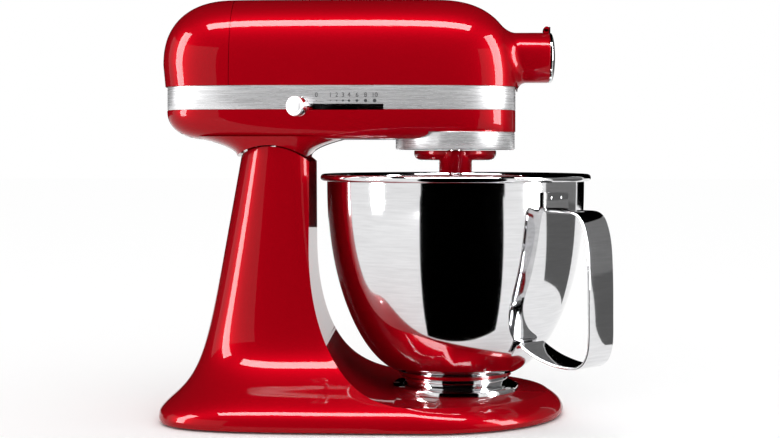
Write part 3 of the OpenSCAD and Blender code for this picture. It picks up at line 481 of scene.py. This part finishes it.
def make_upper_shells():
    """Motor housing and rear cover, split at the seam."""
    def skin(name):
        t = np.radians(np.linspace(0, 89, 120))
        rings = [head_ring(BAND_TOP + (HEAD_TOP - BAND_TOP) * math.sin(a)) for a in t]
        return loft(name, rings, cap_low=False)

    made = []
    halves = (("motor_housing_shell", SEAM_FRONT, 1), ("rear_cover_shell", SEAM_REAR, -1))
    for name, plane, side in halves:
        shell = skin(name)
        bm = bmesh.new()
        bm.from_mesh(shell.data)
        everything = bm.verts[:] + bm.edges[:] + bm.faces[:]
        bmesh.ops.bisect_plane(bm, geom=everything, plane_co=((plane + MIX_X) * MM, 0, 0),
                               plane_no=(-side, 0, 0), clear_outer=True)
        bm.to_mesh(shell.data)
        bm.free()
        solid = shell.modifiers.new("wall", "SOLIDIFY")
        solid.thickness = WALL * MM
        solid.offset = -1
        bake(shell)
        made.append(shell)
    housing, cover = made
    piece(housing, "motor_housing_shell", "head", "red_enamel", "motor_housing")
    screw_x = box_mm("rear_cover_screw")[0].x
    hole = revolve("helper", [(4.5, -TAIL_REACH - 6), (4.5, screw_x + 1.5)], 64, "X", (0, 0, TAIL_MID_Z))
    combine(cover, hole)
    piece(cover, "rear_cover_shell", "head", "red_enamel", "rear_cover")


def hub_pin():
    """Place of the cover's hinge pin, as x and z."""
    low, high = box_mm("hub_cover_pin")
    return (low.x + high.x) / 2, (low.z + high.z) / 2


def make_hub():
    """Power hub: tube with a swept root that runs into the nose."""
    radius, root, count = HUB_RADIUS, HUB_ROOT, 192
    front = box_mm("hub_housing")[1].x
    angles = np.linspace(0, 2 * math.pi, count, endpoint=False)
    rings = []
    for share in np.linspace(1, 0, 25):
        r = radius + root * (1 - math.cos(share * math.pi / 2))
        lift = root * (1 - math.sin(share * math.pi / 2))
        y, z = r * np.cos(angles), HUB_Z + r * np.sin(angles)
        x = np.array([nose_x(b, c) for b, c in zip(y, z)]) + lift + 0.02
        rings.append(np.stack([x, y, z], 1))
    mouth = [(front - 1.0, radius), (front - 0.3, radius - 0.3), (front, radius - 1.0)]
    for x, r in mouth + [(front, HUB_BORE), (45, HUB_BORE)]:
        rings.append(np.stack([np.full(count, x), r * np.cos(angles), HUB_Z + r * np.sin(angles)], 1))
    hub = loft("hub", rings, cap_low=False)
    pin_x, pin_z = hub_pin()
    for y in (-5.2, 5.2):
        lug = tube_y(pin_x, pin_z, 2, 1.8, 48)
        lug.data.transform(Matrix.Translation((0, y * MM, 0)))
        combine(hub, lug, "UNION")
        web = block((pin_x - 2, y - 1.8, HUB_Z + radius - 1), (pin_x + 1.6, y + 1.8, pin_z))
        combine(hub, web, "UNION")
    piece(hub, "hub_casting", "head", "red_enamel", "hub_housing")


def make_hub_cover():
    """Chrome cap that hides the hub socket, with its hinge leaf."""
    face = box_mm("hub_cover")[1].x - 4.6
    radius = HUB_RADIUS - 0.2
    dome = np.radians(np.linspace(4, 90, 24))
    profile = [(0, face), (radius - 0.4, face), (radius, face + 0.3), (radius, face + 1.3)]
    profile += [(radius * math.cos(t), face + 1.4 + 3.2 * math.sin(t)) for t in dome]
    cover = revolve("cover", profile, 160, "X", (0, 0, HUB_Z))
    pin_x, pin_z = hub_pin()
    combine(cover, block((face, -3.1, HUB_Z + 14), (face + 1.2, 3.1, pin_z + 1.6)), "UNION")
    combine(cover, block((pin_x, -3.1, pin_z - 1), (face + 1.2, 3.1, pin_z + 1.9)), "UNION")
    combine(cover, tube_y(pin_x, pin_z, 2, 3.1, 48), "UNION")
    piece(cover, "hub_cover_chrome", "hub_cover", "chrome", "hub_cover")


def make_band():
    """Satin trim band with the two lever slots."""
    z, count = BAND_BOTTOM + 2, ROUND_STEPS
    mid = (BAND_BOTTOM + BAND_TOP) / 2
    section = [(0.5, BAND_BOTTOM), (0.15, BAND_BOTTOM + 0.2), (0.0, BAND_BOTTOM + 0.6), (0.0, mid),
               (0.0, BAND_TOP - 0.6), (0.15, BAND_TOP - 0.2), (0.5, BAND_TOP),
               (WALL, BAND_TOP), (WALL, BAND_BOTTOM)]
    rings = [np.column_stack([head_ring(z, d)[:, :2], np.full(count, h)]) for d, h in section]
    faces = ring_faces(len(rings), count)
    last = (len(rings) - 1) * count
    faces += [(last + i, last + (i + 1) % count, (i + 1) % count, i) for i in range(count)]
    band = new_object("band", np.concatenate(rings), faces)
    fix_normals(band)
    for cutter in lever_slots():
        combine(band, cutter)
    return piece(band, "trim_band_satin", "head", "satin_silver", "trim_band")


def lever_slots():
    """Cutters for the speed slot and the lock slot."""
    made = []
    for joint, side in (("speed_lever_hinge", -1), ("lock_lever_hinge", 1)):
        info = joints[joint]
        x = info["pos_m"][0] / MM - MIX_X
        y = info["pos_m"][1] / MM
        swing = math.radians(info["range_deg"][1]) / 2
        half = (HALF_W - abs(y)) * math.tan(swing) + SLOT_PLAY
        low_y, high_y = sorted((side * (HALF_W - 10), side * (HALF_W + 10)))
        made.append(block((x - half, low_y, SLOT_BOTTOM), (x + half, high_y, SLOT_TOP)))
    return made


def make_lower_housing():
    """Lower casting: boat-shaped hull, swept neck, gearcase mouth and hinge lug."""
    hull_levels = BAND_BOTTOM - (BAND_BOTTOM - HULL_BOTTOM) * np.sin(np.radians(np.linspace(0, 90, 48)))
    hull = loft("hull", [head_ring(z) for z in hull_levels[::-1]])
    neck_levels = np.concatenate([[188], np.linspace(193, 208, 31)])
    rings = []
    for z in neck_levels:
        f = (max(0.0, z - 193) / 13) ** 2
        rings.append(outline(HINGE_X - 26.5 - 26 * f, HINGE_X, HINGE_X + 27.5 + 26 * f,
                             COLUMN_HALF_W + 0.5 + 4 * f, 2.9, 3.4, z, ROUND_STEPS))
    combine(hull, loft("neck", rings), "UNION")
    inner = BAND_BOTTOM - (BAND_BOTTOM - HULL_BOTTOM - WALL) * np.linspace(1, -0.2, 12)
    combine(hull, loft("helper", [head_ring(z, WALL, 192) for z in inner]))
    arc_r = STAND_HIGH.z - HINGE_Z + NECK_GAP
    combine(hull, tube_y(HINGE_X, HINGE_Z, arc_r, 140))
    mouth = DRIP_HIGH.y - 1.7
    clear_r = DRIP_HIGH.y + 3
    around = revolve("helper", [(clear_r, HULL_BOTTOM - 20), (clear_r, DRIP_HIGH.z)], 256)
    combine(around, block((-20, -100, HULL_BOTTOM - 20), (180, 100, DRIP_HIGH.z)), "UNION")
    combine(hull, around)
    throat_r, throat_z, throat_top = 38.4, 199, DRIP_HIGH.z + 1
    throat = [(throat_r, throat_z), (throat_r, throat_top), (mouth, throat_top), (mouth, throat_z)]
    throat = revolve("helper", throat, 256)
    combine(hull, throat, "UNION")
    lug = tube_y(HINGE_X, HINGE_Z, HINGE_HUB_R, LUG_HALF_W)
    web_end = [(HINGE_X + 50 * math.cos(a), HINGE_Z + 50 * math.sin(a)) for a in np.radians((62, 86))]
    web = prism_y([(HINGE_X, HINGE_Z)] + web_end, LUG_HALF_W)
    combine(lug, web, "UNION")
    combine(lug, tube_y(HINGE_X, HINGE_Z, 9, 30))
    combine(hull, lug, "UNION")
    for cutter in lever_slots():
        combine(hull, cutter)
    for x in range(-206, -184, 7):
        combine(hull, block((x, -22, HULL_BOTTOM - 5), (x + 3, 8, HULL_BOTTOM + 25)))
    return piece(hull, "lower_casting", "head", "red_enamel", "lower_housing", angle=30)


# ---- Drip ring, planetary and levers -------------------------------------

def make_drip_ring():
    outer, low, high = DRIP_HIGH.y, DRIP_LOW.z, DRIP_HIGH.z
    inner, lip = outer - 1.7, outer - 4.7
    profile = [(outer - 0.6, high), (outer, high - 0.6), (outer, low + 1.2), (outer - 0.4, low + 0.4),
               (outer - 1.2, low), (lip, low), (lip, low + 1), (inner, low + 1), (inner, high)]
    ring = revolve("ring", profile + profile[:1], 256)
    return piece(ring, "drip_ring_satin", "head", "satin_silver", "drip_ring")


def make_planetary():
    """Red disc with the offset boss that carries the beater shaft."""
    low, high = box_mm("planetary_hub")
    disc_r = high.y
    top, bottom = high.z - 0.5, low.z + 9.4
    shaft_r = box_mm("centre_shaft")[1].y
    corner = 5
    edge = [(disc_r - corner, bottom)]
    edge += [(disc_r - corner + corner * math.sin(t), bottom + corner - corner * math.cos(t))
             for t in np.radians(np.linspace(6, 90, 15))]
    upper = [(disc_r, top - 0.4), (disc_r - 0.4, top), (shaft_r, top), (shaft_r, bottom)]
    disc = revolve("disc", [(shaft_r, bottom)] + edge + upper, 256)
    boss_y = (box_mm("beater_shaft")[0].y + box_mm("beater_shaft")[1].y) / 2
    profile = [(0, low.z), (BOSS_R - 0.8, low.z), (BOSS_R - 0.2, low.z + 0.3), (BOSS_R, low.z + 0.9),
               (BOSS_R, bottom - 0.8), (BOSS_R + 0.3, bottom - 0.2), (BOSS_R + 0.3, top - 1), (0, top - 1)]
    boss = revolve("boss", profile, 160, "Z", (0, boss_y, 0))
    combine(disc, boss, "UNION")
    bore = box_mm("beater_shaft")[1].x + 0.15
    combine(disc, revolve("helper", [(bore, low.z - 3), (bore, top + 3)], 96, "Z", (0, boss_y, 0)))
    piece(disc, "planetary_disc", "planetary", "red_enamel", "planetary_hub")


def make_knob(joint, body, reach, rest):
    """Chrome knob with a flat face and a grooved collar, on the end of a lever."""
    info = joints[joint]
    x, y, z = (v / MM for v in info["pos_m"])
    r = box_mm(body + "_knob")[1].z - z
    quarter, most = np.radians(np.linspace(0, 90, 8)), np.radians(np.linspace(0, 80, 8))
    profile = [(0, reach - 24), (1.7, reach - 24), (1.9, reach - 14), (r / 2 - 0.4, reach - 13.2),
               (r / 2, reach - 12.6), (r / 2, reach - 11.6), (r * 0.62, reach - 11.2),
               (r - 1.4, reach - 10.4)]
    profile += [(r - 1.4 + 1.4 * math.sin(t), reach - 9 - 1.4 * math.cos(t)) for t in quarter]
    profile += [(r, reach - 6.6), (r - 0.35, reach - 6.4), (r - 0.35, reach - 5.9), (r, reach - 5.7)]
    profile += [(r - 1 + math.cos(t), reach - 1 + math.sin(t)) for t in most]
    profile += [(r - 1.3, reach), (r - 1.7, reach - 0.25), (r - 2.1, reach), (0, reach)]
    knob = revolve("knob", [(a, -b) for a, b in profile], 112, "Y")
    face = [p.index for p in knob.data.polygons if p.center.y < -(reach - 1.2) * MM]
    knob.data.transform(Matrix.Translation((-MIX_X * MM, 0, 0)))
    place = Matrix.Translation(Vector((x, y, z)) * MM)
    knob.data.transform(place @ Matrix.Rotation(math.radians(rest), 4, "Z"))
    piece(knob, body + "_knob_chrome", body, "chrome", body + "_knob", angle=40)
    knob.data.materials.append(SPUN)
    for i in face:
        knob.data.polygons[i].material_index = 1


# ---- Bowl ----------------------------------------------------------------

RIM_R = box_mm("bowl")[1].y
RIM_Z = box_mm("bowl")[1].z
BOWL_FLOOR, COLLAR_R = 32.0, 42.7


def bowl_r(z):
    """Outer radius of the bowl wall at height z."""
    v = max(0.0, (z - BOWL_FLOOR) / (RIM_Z - 4 - BOWL_FLOOR))
    return COLLAR_R + (RIM_R - 5 - COLLAR_R) * (1 - (1 - v) ** 2.3) ** (1 / 1.6)


def handle_line():
    """Side view of the handle strip, as in the design."""
    top, bottom, fold, reach = 153.4, 47.4, 60.5, HANDLE_REACH
    upper_tab = [(bowl_r(168), 168), (bowl_r(top + 6), top + 6), (bowl_r(top + 3) + 0.8, top + 3),
                 (bowl_r(top + 1) + 2.5, top + 0.9), (bowl_r(top) + 5.5, top)]
    grip = [(reach - 18, top), (reach - 13, top - 0.8), (reach - 9.5, top - 3.2), (reach - 7, top - 7.5),
            (reach - 4.6, top - 15), (reach - 3, top - 25), (reach - 2, bottom + 60),
            (reach - 1.9, bottom + 36), (reach - 2.1, bottom + 18), (reach - 3.6, bottom + 10),
            (reach - 7, bottom + 4), (reach - 12.5, bottom + 0.8), (reach - 20, bottom)]
    lower_arm = [(reach - 31, bottom + 0.8), (reach - 45, bottom + 4), (reach - 55, bottom + 8)]
    lower_tab = [(bowl_r(fold) + 2.6, fold - 1.2), (bowl_r(fold) + 1, fold - 1.2),
                 (bowl_r(fold - 2) + 0.3, fold - 2.6), (bowl_r(fold - 5), fold - 5), (bowl_r(51), 51)]
    return np.array(upper_tab + grip + lower_arm + lower_tab)


def rounded_line(points, steps=6):
    """Smooth curve through the points."""
    ends = np.vstack([2 * points[0] - points[1], points, 2 * points[-1] - points[-2]])
    out = []
    for a, b, c, d in zip(ends, ends[1:], ends[2:], ends[3:]):
        span = np.linalg.norm(c - b)
        m0 = (c - a) * span / (np.linalg.norm(b - a) + span)
        m1 = (d - b) * span / (np.linalg.norm(d - c) + span)
        for t in np.linspace(0, 1, steps, endpoint=False):
            out.append((2 * t ** 3 - 3 * t ** 2 + 1) * b + (t ** 3 - 2 * t ** 2 + t) * m0
                       + (3 * t ** 2 - 2 * t ** 3) * c + (t ** 3 - t ** 2) * m1)
    return np.array(out + [points[-1]])


HANDLE_ANGLE = math.radians(44)
HANDLE_W, HANDLE_T = 27.5, 1.8
HANDLE_CORNER = HANDLE_W / 2 * math.sin(HANDLE_ANGLE)
HANDLE_REACH = (box_mm("bowl_handle")[1].x - HANDLE_CORNER) / math.cos(HANDLE_ANGLE) - 0.05


def make_handle():
    """Polished strip with rolled edges, spot-welded to the bowl at both tabs."""
    line = rounded_line(handle_line())
    ahead = np.gradient(line, axis=0)
    ahead /= np.linalg.norm(ahead, axis=1)[:, None]
    side = np.stack([-ahead[:, 1], ahead[:, 0]], 1)
    half, thick = HANDLE_W / 2, HANDLE_T
    section = []
    for t in np.radians(np.linspace(-90, 90, 9)):
        section.append((half - 0.8 + 0.8 * math.cos(t), thick / 2 + (thick / 2) * math.sin(t)))
    section += [(-w, h) for w, h in reversed(section)]
    rings = []
    for point, out in zip(line, side):
        ring = []
        for w, h in section:
            r, z = point + out * (0.15 + h)
            ring.append((r, w, z))
        rings.append(np.array(ring))
    handle = loft("handle", rings)
    handle.data.transform(Matrix.Translation((-MIX_X * MM, 0, 0)))
    place = Matrix.Translation((MIX_X * MM, 0, 0)) @ Matrix.Rotation(-HANDLE_ANGLE, 4, "Z")
    handle.data.transform(place)
    piece(handle, "handle_strip", "bowl", "polished_steel", "bowl_handle", angle=38)
    for i, (w, z) in enumerate(((-5.5, 164), (5.5, 164), (0, 55))):
        r = bowl_r(z) + 0.15 + HANDLE_T + (0.35 if z > 100 else 0.6)
        spot = revolve("spot", [(0, 0.1), (0.7, 0.08), (1.0, -0.05), (1.1, -1.6), (0, -1.6)], 40, "X")
        spot.data.transform(Matrix.Translation((-MIX_X * MM, 0, 0)))
        lean = math.atan2(bowl_r(z + 1) - bowl_r(z - 1), 2)
        seat = Matrix.Translation(Vector((r, w, z)) * MM) @ Matrix.Rotation(lean, 4, "Y")
        spot.data.transform(place @ seat)
        piece(spot, f"weld_spot_{i}", "bowl", "polished_steel")


def make_clamp_plate():
    """Turned clamp ring with three lug entries."""
    low, high = box_mm("bowl_clamp_plate")
    r, z0, z1 = high.y, low.z, high.z
    lip = 39.2
    profile = [(0, z0), (r - 0.5, z0), (r, z0 + 0.4), (r, z1 - 1.2), (r - 0.35, z1 - 0.4), (r - 1.1, z1),
               (lip + 0.8, z1), (lip, z1 - 0.6), (lip, z0 + 2.7), (lip + 2, z0 + 2.7), (lip + 2, z0 + 0.8),
               (0, z0 + 0.8)]
    ring = revolve("clamp", profile, 256)
    for turn in (60, 180, 300):
        a = math.radians(turn)
        place = (44 * math.cos(a), 44 * math.sin(a), 0)
        hole = [(1.7, z0 - 1), (1.7, z0 + 2.4), (2.9, z0 + 2.4), (2.9, z1 + 3)]
        combine(ring, revolve("helper", hole, 64, "Z", place))
    piece(ring, "clamp_ring_polished", "stand", "chrome", "bowl_clamp_plate")


def make_beater_edges():
    """Rounded edges on the cast beater and the black screw knob."""
    for node, width in (("flat_beater", 0.9), ("hub_thumb_screw", 0.5)):
        obj = frame["nodes"][node]
        round_off = obj.modifiers.new("rounded", "BEVEL")
        round_off.width = width * MM
        round_off.segments = 3
        round_off.limit_method = "ANGLE"
        round_off.angle_limit = math.radians(40)


def make_bowl():
    """Polished bowl: belly, flared mouth with a rolled bead, stepped foot."""
    low = box_mm("bowl")[0]
    floor, wall, bead, foot_r = BOWL_FLOOR, 1.2, 2.6, 38.8
    steps = floor + (RIM_Z - 4 - floor) * np.linspace(0, 1, 90) ** 2
    profile = [(0.0, floor), (foot_r - wall, floor), (foot_r - wall, low.z), (foot_r - 0.3, low.z),
               (foot_r, low.z + 0.3), (foot_r, floor - 7), (foot_r + 0.6, floor - 6),
               (foot_r + 0.6, floor - 5), (foot_r, floor - 4.4), (foot_r + 0.6, floor - 3.6),
               (COLLAR_R - 0.8, floor - 3.2), (COLLAR_R, floor - 2.4), (COLLAR_R, floor - 0.4)]
    profile += [(bowl_r(z), z) for z in steps[1:]]
    for t in np.radians(np.arange(-140, 141, 10)):
        profile.append((RIM_R - bead + bead * math.cos(t), RIM_Z - bead + bead * math.sin(t)))
    profile += [(bowl_r(z) - wall, max(z, floor + wall)) for z in steps[:1:-1]]
    profile.append((0.0, floor + wall))
    bowl = revolve("bowl", profile, 256)
    return piece(bowl, "bowl_polished", "bowl", "polished_steel", "bowl", angle=50)


# ---- Printed speed scale -------------------------------------------------

def make_scale():
    """Generic numbers with growing dots above the speed slot."""
    marks = (("0", -101.4), ("1", -91), ("2", -86.6), ("3", -82), ("4", -77.6), ("6", -71.8), ("8", -65.6),
             ("10", -59))
    for i, (text, x) in enumerate(marks):
        y = -head_y(x, BAND_BOTTOM + 2) - 0.06
        curve = bpy.data.curves.new("digit", "FONT")
        curve.body = text
        curve.size = 4.6 * MM
        curve.align_x = "CENTER"
        curve.extrude = 0.03 * MM
        digit = bpy.data.objects.new("scale_digit", curve)
        digit.rotation_euler = (math.pi / 2, 0, 0)
        digit.location = ((x + MIX_X) * MM, y * MM, 236.6 * MM)
        bpy.context.scene.collection.objects.link(digit)
        bpy.context.view_layer.update()
        mesh = bpy.data.meshes.new_from_object(digit.evaluated_get(bpy.context.evaluated_depsgraph_get()))
        mesh.transform(digit.matrix_world)
        bpy.data.objects.remove(digit)
        mark = bpy.data.objects.new(f"scale_digit_{i}", mesh)
        bpy.context.scene.collection.objects.link(mark)
        dot_r = 0.25 + 0.15 * i
        dot = revolve(f"scale_dot_{i}", [(0, y + 0.05), (dot_r, y + 0.05), (dot_r, y), (0, y)], 32, "Y",
                      (x, 0, 233.9))
        for obj in (mark, dot):
            obj.data.materials.clear()
            obj.data.materials.append(MARK)
            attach(obj, "head")


# ---- Scene ---------------------------------------------------------------

def area_light(name, place, aim, size, power, colour=(1, 1, 1)):
    light = bpy.data.lights.new(name, "AREA")
    light.shape = "RECTANGLE"
    light.size, light.size_y = size
    light.energy = power
    light.color = colour
    obj = bpy.data.objects.new(name, light)
    obj.location = place
    obj.rotation_euler = (Vector(aim) - Vector(place)).to_track_quat("-Z", "Y").to_euler()
    bpy.context.scene.collection.objects.link(obj)
    return obj


def reflected_only(obj, shade=0.0):
    """Black or grey studio card that shows only in reflections."""
    mat, _, shader = material(obj.name, (shade, shade, shade), 0.0, 1.0)
    shader.inputs["Specular IOR Level"].default_value = 0
    obj.data.materials.append(mat)
    obj.visible_camera = False
    obj.visible_diffuse = False
    obj.visible_shadow = False
    obj.visible_transmission = False


def round_place(radius, turn, height):
    """Point at a compass turn in degrees from the camera's side, round the mixer."""
    a = math.radians(turn)
    return radius * math.sin(a), -radius * math.cos(a), height


def dark_tent():
    """Black drapes around the set, open at the left and the right."""
    turns = np.arange(0, 360, 3)
    heights = [0.4, 400, 800, 1200, 1600, 2100, 2600]
    radii = [TENT_R] * 5 + [TENT_R - 100, TENT_R - 700]
    points = [round_place(r, t, h) for h, r in zip(heights, radii) for t in turns]
    count = len(turns)
    faces = []
    for row in range(len(heights) - 1):
        for i, t in enumerate(turns):
            left, right = 255 <= t < 330, 42 <= t < 135
            if (left or right) and heights[row] < 1500:
                continue
            faces.append((row * count + i, row * count + (i + 1) % count,
                          (row + 1) * count + (i + 1) % count, (row + 1) * count + i))
    top = (len(heights) - 1) * count
    faces.append(tuple(top + i for i in range(count)))
    return new_object("dark_tent", points, faces)


def grey_card():
    """Dimmer end of the open right-hand side."""
    turns = np.arange(84, 136, 4)
    points = [round_place(TENT_R - 10, t, h) for h in (0.4, 1600) for t in turns]
    return new_object("grey_card", points, ring_faces(2, len(turns), closed=False))


def grey_mat():
    """Grey patch of floor in front of the grey card."""
    turns = range(84, 133, 6)
    points = [round_place(r, t, 0.7) for r in (320, TENT_R - 10) for t in turns]
    return new_object("grey_mat", points, ring_faces(2, len(turns), closed=False))


def dark_flag():
    """Black patch of floor on the camera's side, seen as the dark band in the bowl."""
    corners = [(75, STAGE_Y, 0.6), (-50, STAGE_Y, 0.6)]
    for turn in range(-31, 42, 6):
        a = math.radians(turn)
        corners.append((TENT_R * math.sin(a), STAGE_Y - FLAG_R * math.cos(a), 0.6))
    return new_object("dark_flag", corners, [tuple(range(len(corners)))])


def make_stage():
    """Plain pale floor, soft studio light and dark drapes for the reflections."""
    wide = 9000
    corners = [(-wide, -wide, 0), (wide, -wide, 0), (wide, wide, 0), (-wide, wide, 0)]
    floor = new_object("floor", corners, [(0, 1, 2, 3)])
    pale, _, shader = material("pale_floor", (0.99, 0.99, 0.99), 0.0, 1.0)
    shader.inputs["Specular IOR Level"].default_value = 0
    floor.data.materials.append(pale)
    tent, flag, card, patch = dark_tent(), dark_flag(), grey_card(), grey_mat()
    for obj, shade in ((tent, 0.0), (flag, 0.0), (card, 0.2), (patch, 0.12)):
        reflected_only(obj, shade)
    world = bpy.data.worlds.new("studio")
    world.use_nodes = True
    world.node_tree.nodes["Background"].inputs["Color"].default_value = (1, 1, 1, 1)
    world.node_tree.nodes["Background"].inputs["Strength"].default_value = 1.0
    bpy.context.scene.world = world
    head = (MIX_X * MM - 0.08, 0, 0.25)
    for name, place, size, power in (
            ("strip_top", (head[0], -0.62, 1.62), (1.7, 0.3), 56),
            ("strip_right", (head[0] + 1.35, -0.5, 0.6), (0.42, 1.5), 52),
            ("strip_left", (head[0] - 1.35, -0.5, 0.6), (0.36, 1.5), 46)):
        strip = area_light(name, place, head, size, power)
        strip.visible_diffuse = False
    for name, place, size, power in (
            ("key_soft", (head[0], -0.9, 1.9), (1.8, 1.0), 1.5),
            ("fill_low", (head[0], -1.1, 0.06), (1.2, 0.1), 3)):
        soft = area_light(name, place, head, size, power)
        soft.visible_glossy = False


def make_camera():
    distance, turn = 1.1, math.radians(2)
    target_x = (MIX_X - 53.2) * MM
    camera = bpy.data.objects.new("camera", bpy.data.cameras.new("camera"))
    camera.location = (target_x + distance * math.sin(turn), -distance * math.cos(turn), 0.198)
    camera.rotation_euler = (math.pi / 2, 0, turn)
    camera.data.lens = 66.8
    camera.data.sensor_width = 36
    camera.data.shift_x = 0.0064
    camera.data.shift_y = -0.0885
    bpy.context.scene.collection.objects.link(camera)
    bpy.context.scene.camera = camera


view = bpy.context.scene.view_settings
view.view_transform = "Standard"
view.look = "None"
make_camera()
make_stage()

for name, obj in frame["nodes"].items():
    slot = next(s["material_slot"] for s in frame["record"]["subparts"] if s["node"] == name)
    paint(obj, slot)

make_pedestal()
make_upper_shells()
make_hub()
make_hub_cover()
make_band()
make_lower_housing()
make_drip_ring()
make_planetary()
make_knob("speed_lever_hinge", "speed_lever", SPEED_REACH, SPEED_REST)
make_knob("lock_lever_hinge", "lock_lever", LOCK_REACH, LOCK_REST)
make_bowl()
make_handle()
make_clamp_plate()
make_beater_edges()
make_scale()
